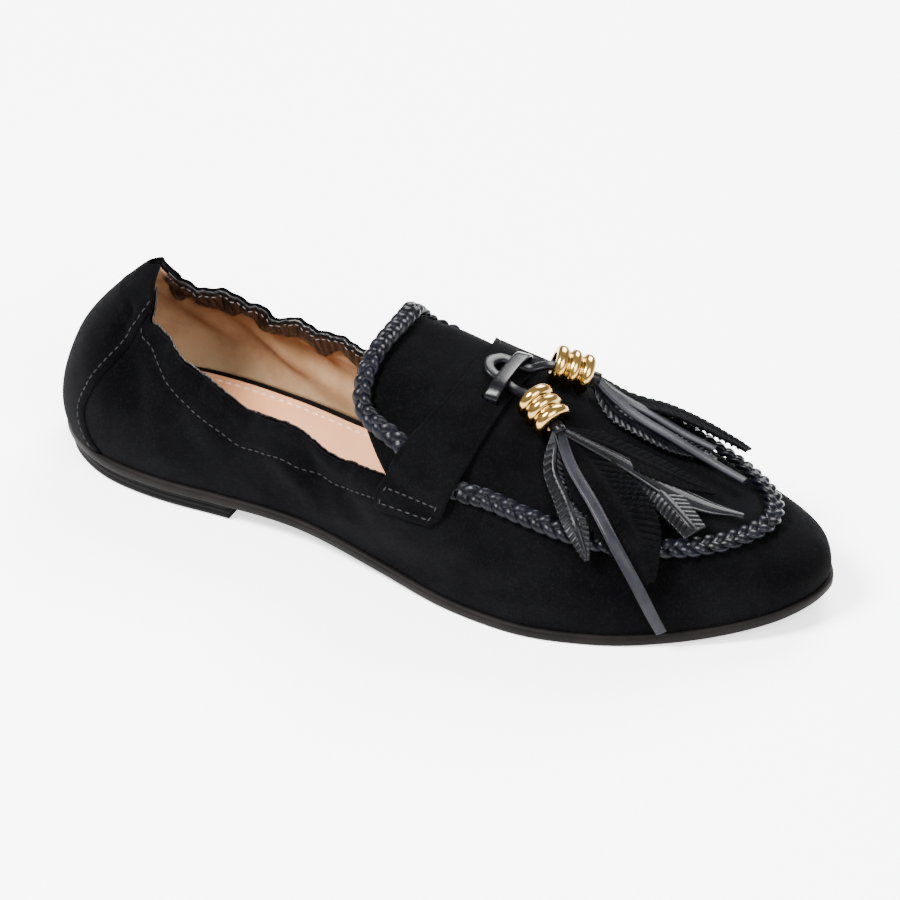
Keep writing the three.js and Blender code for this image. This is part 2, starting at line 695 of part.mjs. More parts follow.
// Beads: three ribs round a bore, each in line with the tie's leg that it holds.
const BEAD_RIBS = [
  { at: -0.5, radius: 0.74 },
  { at: -0.46, radius: 0.92 },
  { at: -0.34, radius: 1 },
  { at: -0.22, radius: 0.9 },
  { at: -0.17, radius: 0.76 },
  { at: -0.12, radius: 0.9 },
  { at: 0, radius: 1 },
  { at: 0.12, radius: 0.9 },
  { at: 0.17, radius: 0.76 },
  { at: 0.22, radius: 0.9 },
  { at: 0.34, radius: 1 },
  { at: 0.46, radius: 0.92 },
  { at: 0.5, radius: 0.74 },
];
const BEAD_SIDES = 14;
const BEAD_ROUTE = {
  lateral: [{ side: "lateral", along: 0.636, climb: 0.907 }, { side: "lateral", along: 0.68, climb: 0.845 }],
  medial: [{ side: "medial", along: 0.63, climb: 0.915 }, { side: "medial", along: 0.674, climb: 0.855 }],
};

function beadFrame(side) {
  const [rear, front] = BEAD_ROUTE[side].map((row) => onLast({ ...row, lift: beadLift }));
  const ahead = front.point.clone().sub(rear.point).normalize();
  const across = rear.normal.clone().cross(ahead).normalize();
  const point = rear.point.clone().add(front.point).multiplyScalar(0.5);
  return { point, ahead, across, up: ahead.clone().cross(across) };
}

function bead(side) {
  const frame = beadFrame(side);
  const bore = [...BEAD_RIBS].reverse().filter((row) => Math.abs(row.at) > 0.4);
  const profile = [
    ...BEAD_RIBS.map((row) => [row.at * BEAD_LENGTH, row.radius * BEAD_RADIUS]),
    ...bore.map((row) => [row.at * BEAD_LENGTH, BEAD_BORE]),
  ];
  profile.push(profile[0]);
  const rings = profile.map(([at, radius]) => {
    const ring = [];
    for (let j = 0; j <= BEAD_SIDES; j += 1) {
      const turn = (2 * Math.PI * (j % BEAD_SIDES)) / BEAD_SIDES;
      const point = frame.point.clone().addScaledVector(frame.ahead, at);
      point.addScaledVector(frame.across, radius * Math.cos(turn));
      ring.push(point.addScaledVector(frame.up, radius * Math.sin(turn)));
    }
    return ring;
  });
  return weld([grid(rings)]);
}

addPiece("bead_lateral", bead("lateral"), 0xd8a848, 0.25, 1);
addPiece("bead_medial", bead("medial"), 0xd8a848, 0.25, 1);

// Tassels: leaves and strips that leave each bead and lie over the vamp. Left and right are
// half-widths as shares of the leaf's own width, itself a share of the widest leaf; lift is
// a share of the bead's radius.
const TASSELS = {
  lateral: [
    { width: 0.17, curl: 0, rows: [
      { along: 0.677, climb: 0.825, lift: 0.75, left: 0.5, right: 0.5 },
      { along: 0.716, climb: 0.738, lift: 0.75, left: 0.5, right: 0.5 },
      { along: 0.759, climb: 0.6, lift: 1, left: 0.5, right: 0.5 },
      { along: 0.794, climb: 0.45, lift: 1.35, left: 0.5, right: 0.5 },
      { along: 0.827, climb: 0.275, lift: 1.05, left: 0.5, right: 0.5 },
      { along: 0.845, climb: 0.125, lift: 0.6, left: 0.5, right: 0.5 },
      { along: 0.854, climb: 0.04, lift: 0.5, left: 0.45, right: 0.45 },
    ] },
    { width: 0.4, curl: 0.1, rows: [
      { along: 0.677, climb: 0.812, lift: 0.5, left: 0.2, right: 0.2 },
      { along: 0.7, climb: 0.712, lift: 0.3, left: 0.4, right: 0.4 },
      { along: 0.727, climb: 0.6, lift: 0.5, left: 0.5, right: 0.5 },
      { along: 0.748, climb: 0.488, lift: 0.88, left: 0.46, right: 0.46 },
      { along: 0.769, climb: 0.362, lift: 0.72, left: 0.06, right: 0.1 },
    ] },
    { width: 1, curl: 0.1, rows: [
      { along: 0.683, climb: 0.875, lift: 0.6, left: 0.1, right: 0.1 },
      { along: 0.722, climb: 0.812, lift: 0.55, left: 0.32, right: 0.36 },
      { along: 0.764, climb: 0.7, lift: 0.72, left: 0.46, right: 0.5 },
      { along: 0.804, climb: 0.562, lift: 1.02, left: 0.5, right: 0.5 },
      { along: 0.827, climb: 0.425, lift: 1.08, left: 0.36, right: 0.4 },
      { along: 0.841, climb: 0.3, lift: 0.65, left: 0.06, right: 0.12 },
    ] },
    { width: 0.5, curl: 0.1, rows: [
      { along: 0.694, climb: 0.912, lift: 0.45, left: 0.12, right: 0.12 },
      { along: 0.759, climb: 0.9, lift: 0.25, left: 0.3, right: 0.3 },
      { along: 0.827, climb: 0.85, lift: 0.25, left: 0.45, right: 0.45 },
      { along: 0.874, climb: 0.712, lift: 0.6, left: 0.5, right: 0.5 },
      { along: 0.897, climb: 0.575, lift: 0.88, left: 0.36, right: 0.4 },
    ] },
    { width: 0.27, curl: 0, rows: [
      { along: 0.7, climb: 0.925, lift: 0.6, left: 0.2, right: 0.2 },
      { along: 0.789, climb: 0.875, lift: 0.42, left: 0.35, right: 0.35 },
      { along: 0.878, climb: 0.825, lift: 0.42, left: 0.5, right: 0.5 },
      { along: 0.946, climb: 0.762, lift: 0.45, left: 0.5, right: 0.5 },
      { along: 0.981, climb: 0.675, lift: 0.65, left: 0.1, right: 0.1 },
    ] },
    { width: 0.45, curl: 0.1, rows: [
      { along: 0.689, climb: 0.925, lift: 0.62, left: 0.15, right: 0.15 },
      { along: 0.743, climb: 0.912, lift: 0.45, left: 0.42, right: 0.42 },
      { along: 0.808, climb: 0.925, lift: 0.45, left: 0.5, right: 0.5 },
      { along: 0.918, climb: 0.912, lift: 0.45, left: 0.42, right: 0.42 },
      { along: 0.985, climb: 0.85, lift: 0.45, left: 0.06, right: 0.06 },
    ] },
  ],
  medial: [
    { width: 0.2, curl: 0, rows: [
      { along: 0.69, climb: 0.81, lift: 0.75, left: 0.5, right: 0.5 },
      { along: 0.72, climb: 0.8, lift: 0.6, left: 0.5, right: 0.5 },
      { along: 0.76, climb: 0.79, lift: 0.6, left: 0.5, right: 0.5 },
      { along: 0.81, climb: 0.77, lift: 0.55, left: 0.5, right: 0.5 },
      { along: 0.86, climb: 0.73, lift: 0.6, left: 0.4, right: 0.4 },
    ] },
    { width: 0.45, curl: 0.1, rows: [
      { along: 0.69, climb: 0.85, lift: 0.5, left: 0.2, right: 0.2 },
      { along: 0.72, climb: 0.9, lift: 0.35, left: 0.45, right: 0.45 },
      { along: 0.77, climb: 0.9, lift: 0.32, left: 0.5, right: 0.5 },
      { along: 0.82, climb: 0.86, lift: 0.32, left: 0.5, right: 0.5 },
      { along: 0.885, climb: 0.77, lift: 0.38, left: 0.08, right: 0.08 },
    ] },
    { width: 0.6, curl: 0.1, rows: [
      { along: 0.69, climb: 0.8, lift: 0.5, left: 0.2, right: 0.2 },
      { along: 0.72, climb: 0.71, lift: 0.5, left: 0.4, right: 0.4 },
      { along: 0.76, climb: 0.66, lift: 0.82, left: 0.5, right: 0.5 },
      { along: 0.8, climb: 0.62, lift: 0.95, left: 0.5, right: 0.5 },
      { along: 0.84, climb: 0.58, lift: 0.98, left: 0.46, right: 0.46 },
      { along: 0.875, climb: 0.54, lift: 0.98, left: 0.25, right: 0.3 },
    ] },
    { width: 0.18, curl: 0, rows: [
      { along: 0.683, climb: 0.9, lift: 0.8, left: 0.5, right: 0.5 },
      { along: 0.738, climb: 0.89, lift: 0.7, left: 0.5, right: 0.5 },
      { along: 0.808, climb: 0.885, lift: 0.66, left: 0.5, right: 0.5 },
      { along: 0.901, climb: 0.838, lift: 0.5, left: 0.5, right: 0.5 },
      { along: 0.965, climb: 0.75, lift: 0.5, left: 0.4, right: 0.4 },
    ] },
  ],
};
const LEAF_STEPS = 8;

function leaf(side, piece) {
  const rows = piece.rows.map((row) => ({ ...row, side, lift: row.lift * BEAD_RADIUS }));
  const frame = beadFrame(side);
  const root = frame.point.clone().addScaledVector(frame.ahead, BEAD_LENGTH / 2 + TASSEL_NECK / 2);
  rows[0].placed = { point: root.addScaledVector(frame.up, -LEAF_THICKNESS / 2), normal: frame.up };
  const shares = rows.map((row, i) => ({ ...row, at: i / (rows.length - 1) }));
  const frames = route(rows, LEAF_STEPS);
  const surface = frames.map((frame, k) => {
    const at = k / LEAF_STEPS;
    const left = read(shares, "left", at, "at") * piece.width * LEAF_WIDTH;
    const right = read(shares, "right", at, "at") * piece.width * LEAF_WIDTH;
    return [-1, 0, 1].map((u) => {
      const reach = u < 0 ? left * u : right * u;
      const point = frame.point.clone().addScaledVector(frame.across, -reach);
      return point.addScaledVector(frame.up, -piece.curl * Math.abs(reach));
    });
  });
  return thicken(flip(grid(surface)), 0, LEAF_THICKNESS);
}

function tassel(side) {
  const frame = beadFrame(side);
  const rootStart = frame.point.clone().addScaledVector(frame.ahead, GAP * 2);
  const rootEnd = frame.point.clone().addScaledVector(frame.ahead, BEAD_LENGTH / 2 + TASSEL_NECK);
  const frames = [rootStart, rootEnd].map((point) => ({ ...frame, point }));
  let body = asBody(bar(frames, 8, () => ({ width: 2 * TASSEL_ROOT, height: 2 * TASSEL_ROOT })));
  for (const piece of TASSELS[side]) body = body.add(asBody(leaf(side, piece)));
  return asSurface(body);
}

addPiece("tassel_lateral", tassel("lateral"), 0x212127, 0.6);
addPiece("tassel_medial", tassel("medial"), 0x212127, 0.6);

export default shoe;
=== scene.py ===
import math

import bpy
import numpy as np
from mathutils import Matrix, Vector


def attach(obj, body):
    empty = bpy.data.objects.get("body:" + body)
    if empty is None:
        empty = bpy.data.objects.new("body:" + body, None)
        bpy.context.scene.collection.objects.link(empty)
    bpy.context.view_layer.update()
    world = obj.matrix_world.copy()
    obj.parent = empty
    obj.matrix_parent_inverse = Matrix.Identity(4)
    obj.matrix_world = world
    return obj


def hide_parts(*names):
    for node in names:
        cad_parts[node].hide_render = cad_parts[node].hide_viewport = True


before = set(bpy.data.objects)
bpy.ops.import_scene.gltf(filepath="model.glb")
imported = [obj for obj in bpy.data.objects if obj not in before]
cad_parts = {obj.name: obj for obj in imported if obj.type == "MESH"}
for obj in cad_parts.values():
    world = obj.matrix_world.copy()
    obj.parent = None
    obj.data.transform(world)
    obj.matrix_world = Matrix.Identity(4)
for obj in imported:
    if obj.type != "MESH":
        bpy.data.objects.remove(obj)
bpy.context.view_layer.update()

# Camera: 25 degrees round from the outer side and 34 degrees up, far enough back for a long
# lens, turned a little so that the single shoe fills the picture.
azimuth, elevation = math.radians(25.5), math.radians(33.7)
level = math.cos(elevation)
back = Vector((math.sin(azimuth) * level, -math.cos(azimuth) * level, math.sin(elevation)))
lens = bpy.data.cameras.new("camera")
lens.lens = 239.1
lens.sensor_width = 36
camera = bpy.data.objects.new("camera", lens)
camera.location = Vector((0.10976, 0.0553, 0.02)) + back * 1.822
sight = (camera.location - Vector((0.08096, 0.02878, 0.00271))).normalized()
camera.rotation_euler = (back.rotation_difference(sight) @ back.to_track_quat("Z", "Y")).to_euler()
bpy.context.collection.objects.link(camera)
bpy.context.scene.camera = camera

# Upper: soft black suede on a right-foot last, cemented under its edge to the sole; open at
# the collar, with a tongue, and gathered along the topline by the elastic inside it.
LENGTH, BALL_WIDTH, HEEL_WIDTH = 0.248, 0.085, 0.062
BACK_HEIGHT, INSTEP_HEIGHT = 0.066, 0.066
HEEL_RISE, SOLE_THICKNESS, TOE_SPRING = 0.0055, 0.0035, 0.007
WALL, GAP, SUEDE = 0.0016, 0.0003, 0.0011
ORIGIN, BREAST, TREAD_START, TREAD_END = 0.13, 0.275, 0.632, 0.784
SPINE_HEEL, SPINE_TOE, SPINE_SOFTNESS = 0.12, 0.824, 0.088
TONGUE, TONGUE_BOW, JOIN = 0.447, 0.016, 0.508
# Station, half-width to the outer side, half-width to the inner side, as shares of the width.
HEEL_OUTLINE = [
    (0, 0, 0), (0.012, 0.17, 0.17), (0.045, 0.322, 0.325), (0.1, 0.442, 0.436), (0.18, 0.494, 0.458),
    (0.27, 0.49, 0.425),
]
FORE_OUTLINE = [
    (0.38, 0.362, 0.262), (0.49, 0.424, 0.278), (0.6, 0.5, 0.358), (0.7, 0.522, 0.44),
    (0.78, 0.468, 0.452), (0.86, 0.362, 0.406), (0.925, 0.248, 0.33), (0.97, 0.136, 0.238),
    (0.993, 0.032, 0.14), (1, -0.07, 0.07),
]
# Station, ridge height, ridge place across, squareness, swell.
SECTIONS = [
    (0, 1.045, 0, 1.62, 0.045), (0.14, 1.045, 0, 1.66, 0.06), (0.24, 1.06, 0.004, 2.05, 0.09),
    (0.36, 1.055, 0.016, 2.5, 0.09), (0.45, 1.005, 0.02, 2.8, 0.08), (0.51, 0.945, 0.022, 2.75, 0.07),
    (0.58, 0.86, 0.024, 2.6, 0.05), (0.66, 0.755, 0.026, 2.45, 0.035), (0.74, 0.645, 0.029, 2.35, 0.028),
    (0.82, 0.54, 0.032, 2.3, 0.022), (1, 0.45, 0.04, 2.3, 0.02),
]
# Station, height of the topline, how far its elastic draws it in.
RIM_OUTER = [
    (0, 1, 0.08), (0.024, 0.985, 0.1), (0.064, 0.89, 0.12), (0.12, 0.76, 0.12), (0.22, 0.65, 0.1),
    (0.34, 0.565, 0.06), (0.44, 0.535, 0.03), (0.508, 0.55, 0),
]
RIM_INNER = [
    (0, 1, 0.08), (0.024, 0.985, 0.09), (0.064, 0.9, 0.1), (0.12, 0.78, 0.1), (0.22, 0.7, 0.1),
    (0.34, 0.63, 0.1), (0.44, 0.62, 0.05), (0.508, 0.67, 0),
]
# Dips and rises of the gathered topline: side, station, width, rise.
RIPPLES = [
    (-1, 0.0, 0.019, -0.0026), (1, 0.0, 0.019, -0.0026), (-1, 0.105, 0.012, -0.0018),
    (-1, 0.150, 0.020, 0.0009), (-1, 0.290, 0.018, -0.0012), (-1, 0.350, 0.022, 0.0014),
    (-1, 0.430, 0.020, -0.0009), (1, 0.090, 0.016, -0.0010), (1, 0.175, 0.026, 0.0014),
    (1, 0.245, 0.016, -0.0018), (1, 0.320, 0.030, 0.0009), (1, 0.410, 0.020, -0.0008),
]
# How far the collar seam lies below the topline: station, distance.
COLLAR_SEAM = [
    (0.09, 0.0035), (0.127, 0.0045), (0.161, 0.0068), (0.19, 0.0082), (0.225, 0.0094), (0.281, 0.0104),
    (0.346, 0.0101), (0.398, 0.0095), (0.49, 0.0072), (0.51, 0.0068),
]
# Puckers that run down from the topline: side, station, width, depth, reach, lean.
PUCKERS = [
    (-1, 0.104, 0.007, -0.0018, 0.010, 0.3), (-1, 0.128, 0.008, 0.0010, 0.009, 0.3),
    (-1, 0.158, 0.008, -0.0009, 0.008, 0.6), (-1, 0.192, 0.010, 0.0009, 0.008, 0.5),
    (-1, 0.226, 0.009, -0.0010, 0.009, 0.4), (-1, 0.262, 0.011, 0.0008, 0.007, 0.3),
    (-1, 0.300, 0.010, -0.0010, 0.008, 0.2), (-1, 0.338, 0.009, 0.0009, 0.008, 0.2),
    (-1, 0.370, 0.009, -0.0008, 0.007, 0.2), (-1, 0.408, 0.011, 0.0008, 0.007, 0.3),
    (-1, 0.446, 0.009, -0.0009, 0.008, 0.2), (1, 0.090, 0.008, -0.0010, 0.010, 0.3),
    (1, 0.118, 0.008, 0.0008, 0.010, 0.4), (1, 0.148, 0.007, -0.0009, 0.010, 0.3),
    (1, 0.178, 0.010, 0.0010, 0.009, 0.4), (1, 0.212, 0.007, -0.0008, 0.010, 0.5),
    (1, 0.245, 0.009, -0.0014, 0.012, 0.7), (1, 0.275, 0.008, 0.0009, 0.009, 0.4),
    (1, 0.305, 0.008, -0.0008, 0.008, 0.3), (1, 0.338, 0.009, 0.0009, 0.009, 0.3),
    (1, 0.368, 0.007, -0.0009, 0.009, 0.3), (1, 0.400, 0.008, 0.0008, 0.008, 0.3),
    (1, 0.430, 0.008, -0.0008, 0.008, 0.2), (1, 0.460, 0.009, 0.0005, 0.007, 0.2),
]
# Soft troughs (below 0) and ridges: side, station, height, turn in degrees, length, width, depth.
CREASES = [
    (-1, 0.135, 0.034, -58, 0.012, 0.0042, -0.0021), (-1, 0.175, 0.031, -46, 0.015, 0.0045, 0.0014),
    (-1, 0.205, 0.026, -36, 0.019, 0.0050, -0.0025), (-1, 0.255, 0.027, -24, 0.020, 0.0045, 0.0012),
    (-1, 0.300, 0.022, -18, 0.022, 0.0050, -0.0021), (-1, 0.360, 0.025, -40, 0.013, 0.0038, 0.0012),
    (-1, 0.395, 0.027, -62, 0.010, 0.0035, -0.0018), (-1, 0.440, 0.024, -30, 0.016, 0.0042, -0.0014),
    (-1, 0.470, 0.017, 10, 0.022, 0.0045, 0.0009), (-1, 0.620, 0.020, 24, 0.020, 0.0050, -0.0010),
    (-1, 0.660, 0.014, 12, 0.024, 0.0045, -0.0009), (1, 0.130, 0.036, -52, 0.014, 0.0050, -0.0019),
    (1, 0.170, 0.032, -40, 0.018, 0.0050, 0.0019), (1, 0.225, 0.028, -30, 0.022, 0.0052, -0.0024),
    (1, 0.290, 0.026, -18, 0.026, 0.0050, 0.0022), (1, 0.330, 0.020, -14, 0.028, 0.0050, -0.0022),
    (1, 0.390, 0.026, -30, 0.018, 0.0045, 0.0016), (1, 0.430, 0.021, -22, 0.018, 0.0045, -0.0016),
    (1, 0.650, 0.019, 20, 0.020, 0.0050, -0.0008),
]


def curve(rows, column, at, key=0):
    """A column of a table of rows at the places asked for, on a smooth curve through them."""
    xs = np.array([row[key] for row in rows], float)
    ys = np.array([row[column] for row in rows], float)
    step = np.diff(xs)
    rise = np.diff(ys) / step
    slope = np.empty_like(ys)
    slope[0], slope[-1] = rise[0], rise[-1]
    slope[1:-1] = (rise[:-1] * step[1:] + rise[1:] * step[:-1]) / (step[:-1] + step[1:])
    at = np.clip(np.asarray(at, float), xs[0], xs[-1])
    low = np.clip(np.searchsorted(xs, at, side="right") - 1, 0, len(xs) - 2)
    t = (at - xs[low]) / step[low]
    ease = t * t * (3 - 2 * t)
    bend = t * (1 - t) * (1 - t) * slope[low] - t * t * (1 - t) * slope[low + 1]
    return ys[low] * (1 - ease) + ys[low + 1] * ease + step[low] * bend


def smooth(low, high, value):
    t = np.clip((value - low) / (high - low), 0, 1)
    return t * t * (3 - 2 * t)


def angle_at(along):
    return np.arccos(1 - 2 * np.asarray(along, float))


def along_at(angle):
    return (1 - np.cos(angle)) / 2


OUTLINE = [(float(angle_at(row[0])), -row[1] * width, row[2] * width)
           for rows, width in ((HEEL_OUTLINE, HEEL_WIDTH), (FORE_OUTLINE, BALL_WIDTH)) for row in rows]


def underside(x):
    """Height of the sole's underside: raised on the heel, flat at the tread, lifted at the toe."""
    toe = np.maximum(0, (x / LENGTH - TREAD_END) / (1 - TREAD_END))
    heel = 1 - smooth(BREAST * LENGTH + 0.006, TREAD_START * LENGTH, x)
    return HEEL_RISE * heel + TOE_SPRING * toe ** 2


def seat(x):
    return underside(x) + SOLE_THICKNESS + GAP


def outline(angle, side, margin=0.0):
    """Plan of the last's lower edge; side is -1 for the outer side and 1 for the inner."""
    angle, side = np.broadcast_arrays(np.asarray(angle, float), np.asarray(side))

    def place(at):
        y = np.where(side < 0, curve(OUTLINE, 1, at), curve(OUTLINE, 2, at))
        return np.stack([along_at(at) * LENGTH, y], -1)

    run = place(np.minimum(np.pi, angle + 0.002)) - place(np.maximum(0, angle - 0.002))
    out = np.stack([run[..., 1], -run[..., 0]], -1) * np.where(side < 0, 1, -1)[..., None]
    out /= np.linalg.norm(out, axis=-1, keepdims=True)
    out = np.where((angle < 0.002)[..., None], (-1.0, 0.0), out)
    out = np.where((angle > np.pi - 0.002)[..., None], (1.0, 0.0), out)
    return place(angle) + out * margin


def rim_height(along, side):
    height = np.where(side < 0, curve(RIM_OUTER, 1, along), curve(RIM_INNER, 1, along)) * BACK_HEIGHT
    for way, station, width, rise in RIPPLES:
        height = height + rise * np.exp(-((along - station) / width) ** 2) * (side == way)
    return height


def skin(angle, side, climb):
    """Points of the last: climb is 0 at the sole's edge and 1 on the ridge."""
    angle, side, climb = np.broadcast_arrays(*map(np.asarray, (angle, side, climb)))
    foot = outline(angle, side)
    along = foot[..., 0] / LENGTH
    middle = (along + SPINE_HEEL + np.hypot(along - SPINE_HEEL, SPINE_SOFTNESS)) / 2
    middle = (middle + SPINE_TOE - np.hypot(middle - SPINE_TOE, SPINE_SOFTNESS)) / 2
    centre = np.stack([middle * LENGTH, curve(SECTIONS, 2, middle) * BALL_WIDTH], -1)
    away = foot - centre
    radius = np.linalg.norm(away, axis=-1)
    away /= radius[..., None]
    low = seat(foot[..., 0])
    tall = curve(SECTIONS, 1, middle) * INSTEP_HEIGHT - low
    power = 2 / curve(SECTIONS, 3, middle)
    swell = climb * (1 - climb) ** 5 / (1 / 6 * (5 / 6) ** 5)
    inward = np.maximum(0, np.cos(climb * np.pi / 2)) ** power
    reach = radius * (inward + curve(SECTIONS, 4, middle) * swell)
    z = low + tall * np.sin(climb * np.pi / 2) ** power
    drawn = np.where(side < 0, curve(RIM_OUTER, 2, along), curve(RIM_INNER, 2, along)) * HEEL_WIDTH
    rim = rim_height(along, side)
    pulled = np.maximum(0, reach - drawn * smooth(rim - 0.028, rim + 0.002, z))
    reach = np.where(along < JOIN, pulled, reach)
    step = 0.004
    grade = curve(SECTIONS, 1, middle + step) - curve(SECTIONS, 1, middle - step)
    grade = grade * INSTEP_HEIGHT / (2 * step * LENGTH)
    share = np.minimum(1, reach / radius)
    z = z + grade * reach * away[..., 0] * (1 - share ** 2)
    return np.concatenate([centre + away * reach[..., None], z[..., None]], -1)


def climb_to(angle, side, height):
    angle, side, height = np.broadcast_arrays(*map(np.asarray, (angle, side, height)))
    low, high = np.zeros(angle.shape), np.ones(angle.shape)
    for _ in range(32):
        middle = (low + high) / 2
        below = skin(angle, side, middle)[..., 2] < height
        low, high = np.where(below, middle, low), np.where(below, high, middle)
    return (low + high) / 2


def outward(angle, side, climb):
    """Outward direction of the skin."""
    angle, side, climb = np.broadcast_arrays(*map(np.asarray, (angle, side, climb)))
    step = 0.01
    run = skin(np.minimum(np.pi, angle + step), side, climb) - skin(np.maximum(0, angle - step), side, climb)
    rise = skin(angle, side, np.minimum(1, climb + step)) - skin(angle, side, np.maximum(0, climb - step))
    out = np.cross(run, rise) * np.where(side < 0, 1, -1)[..., None]
    return out / np.linalg.norm(out, axis=-1, keepdims=True)


def on_last(along, side, climb, lift=0.0):
    """Points raised above the skin, and the direction in which they are raised."""
    along, side, climb = np.broadcast_arrays(*map(np.asarray, (along, side, climb)))
    angle = angle_at(along)
    out = outward(angle, side, climb)
    both = out + outward(angle, -side, climb)
    both /= np.linalg.norm(both, axis=-1, keepdims=True)
    out = np.where((climb > 0.999)[..., None], both, out)
    return skin(angle, side, climb) + out * np.asarray(lift)[..., None], out


def tongue_edge(share):
    return (TONGUE + (JOIN - TONGUE) * np.abs(share) ** 3.4
            - TONGUE_BOW * 4 * share ** 2 * (1 - share ** 2))


def grid(points, turned=False):
    """Faces over a grid of points (rows, columns, 3)."""
    rows, columns = points.shape[:2]
    a = (np.arange(rows - 1)[:, None] * columns + np.arange(columns - 1)).ravel()
    faces = np.stack([a, a + 1, a + columns + 1, a + columns], -1)
    return points.reshape(-1, 3), faces[:, ::-1] if turned else faces


def weld(surfaces, size=2e-6):
    """One surface from several, joined where their points meet."""
    points = np.concatenate([surface[0] for surface in surfaces])
    starts = np.cumsum([0] + [len(surface[0]) for surface in surfaces[:-1]])
    faces = np.concatenate([surface[1] + start for surface, start in zip(surfaces, starts)])
    cells = np.round(points / size).astype(np.int64)
    _, first, place = np.unique(cells, axis=0, return_index=True, return_inverse=True)
    return points[first], place.reshape(-1)[faces]


def normals(points, faces):
    total = np.zeros_like(points)
    for a, b, c in ((0, 1, 2), (0, 2, 3)):
        base = points[faces[:, a]]
        area = np.cross(points[faces[:, b]] - base, points[faces[:, c]] - base)
        for corner in (a, b, c):
            np.add.at(total, faces[:, corner], area)
    return total / np.maximum(np.linalg.norm(total, axis=1, keepdims=True), 1e-15)


def thicken(points, faces, inner, outer):
    """A closed wall between two distances along the surface's own normals."""
    out = normals(points, faces)
    count = len(points)
    edges = np.concatenate([np.stack([faces[:, k], faces[:, (k + 1) % 4]], -1) for k in range(4)])
    edges = edges[edges[:, 0] != edges[:, 1]]
    known = set(map(tuple, edges.tolist()))
    rim = np.array([(b, a, a + count, b + count) for a, b in known if (b, a) not in known])
    walls = np.concatenate([faces, faces[:, ::-1] + count, rim])
    return np.concatenate([points + out * outer, points + out * inner]), walls


def add_mesh(name, points, faces, material, node):
    """A mesh in the row's frame that rides on the one body and replaces a node, whose imported part it
    hides.
    """
    clean = [list(dict.fromkeys(face)) for face in np.asarray(faces).tolist()]
    shifted = (points - (ORIGIN * LENGTH, 0, 0)).tolist()
    mesh = bpy.data.meshes.new(name)
    mesh.from_pydata(shifted, [], [face for face in clean if len(face) > 2])
    mesh.polygons.foreach_set("use_smooth", [True] * len(mesh.polygons))
    mesh.materials.append(material)
    mesh.update()
    piece = bpy.data.objects.new(name, mesh)
    bpy.context.collection.objects.link(piece)
    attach(piece, "root")
    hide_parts(node)


class Socket:
    """A node's output; sums and products of it add Math nodes."""

    def __init__(self, graph, output):
        self.graph, self.output = graph, output

    def maths(self, operation, first, second=0.0):
        return self.graph.node("ShaderNodeMath", {"operation": operation}, {0: first, 1: second})

    def __add__(self, other):
        return self.maths("ADD", self, other)

    def __radd__(self, other):
        return self.maths("ADD", other, self)

    def __mul__(self, other):
        return self.maths("MULTIPLY", self, other)

    def step(self, low, high):
        inputs = {"Value": self, "From Min": low, "From Max": high}
        return self.graph.node("ShaderNodeMapRange", {"interpolation_type": "SMOOTHSTEP"}, inputs)


class Graph:
    """A node tree built by calls: type, settings, then socket values or links."""

    def __init__(self, tree):
        self.tree = tree

    def node(self, kind, settings=None, inputs=None, output=0):
        node = self.tree.nodes.new(kind)
        for name, value in (settings or {}).items():
            setattr(node, name, value)
        for key, value in (inputs or {}).items():
            if isinstance(value, Socket):
                self.tree.links.new(value.output, node.inputs[key])
            else:
                node.inputs[key].default_value = value
        if output is None:
            return node
        return Socket(self, node.outputs[output])

    def noise(self, scale, detail, roughness):
        place = self.node("ShaderNodeTexCoord", output="Object")
        inputs = {"Vector": place, "Scale": scale, "Detail": detail, "Roughness": roughness}
        return self.node("ShaderNodeTexNoise", {}, inputs)

    def mix(self, share, first, second):
        inputs = {0: share, 6: (*first, 1), 7: (*second, 1)}
        return self.node("ShaderNodeMix", {"data_type": "RGBA"}, inputs, 2)

    def bump(self, height, distance, strength):
        inputs = {"Height": height, "Distance": distance, "Strength": strength}
        return self.node("ShaderNodeBump", {}, inputs)


def new_material(name, build):
    """A material whose Principled shader takes what the build function returns for it."""
    material = bpy.data.materials.new(name)
    material.use_nodes = True
    material.node_tree.nodes.clear()
    graph = Graph(material.node_tree)
    shader = graph.node("ShaderNodeBsdfPrincipled", {}, build(graph))
    graph.node("ShaderNodeOutputMaterial", {}, {"Surface": shader}, None)
    return material


def suede_look(dark, light, sheen=0.006):
    """Suede: two near-black tones brushed into soft patches, a short nap and no gloss."""
    def build(graph):
        patches = graph.noise(34.0, 5.0, 0.62).step(0.38, 0.66)
        flecks = graph.noise(1100.0, 3.0, 0.7).step(0.5, 0.7)
        tone = graph.mix(patches * 0.5 + flecks * 0.5, dark, light)
        nap = graph.noise(3600.0, 2.0, 0.65)
        return {"Base Color": tone, "Roughness": 0.95, "Specular IOR Level": 0.022, "Sheen Weight": sheen,
                "Sheen Roughness": 0.5, "Sheen Tint": (0.8, 0.82, 0.92, 1),
                "Normal": graph.bump(nap, 0.0004, 0.8)}
    return build


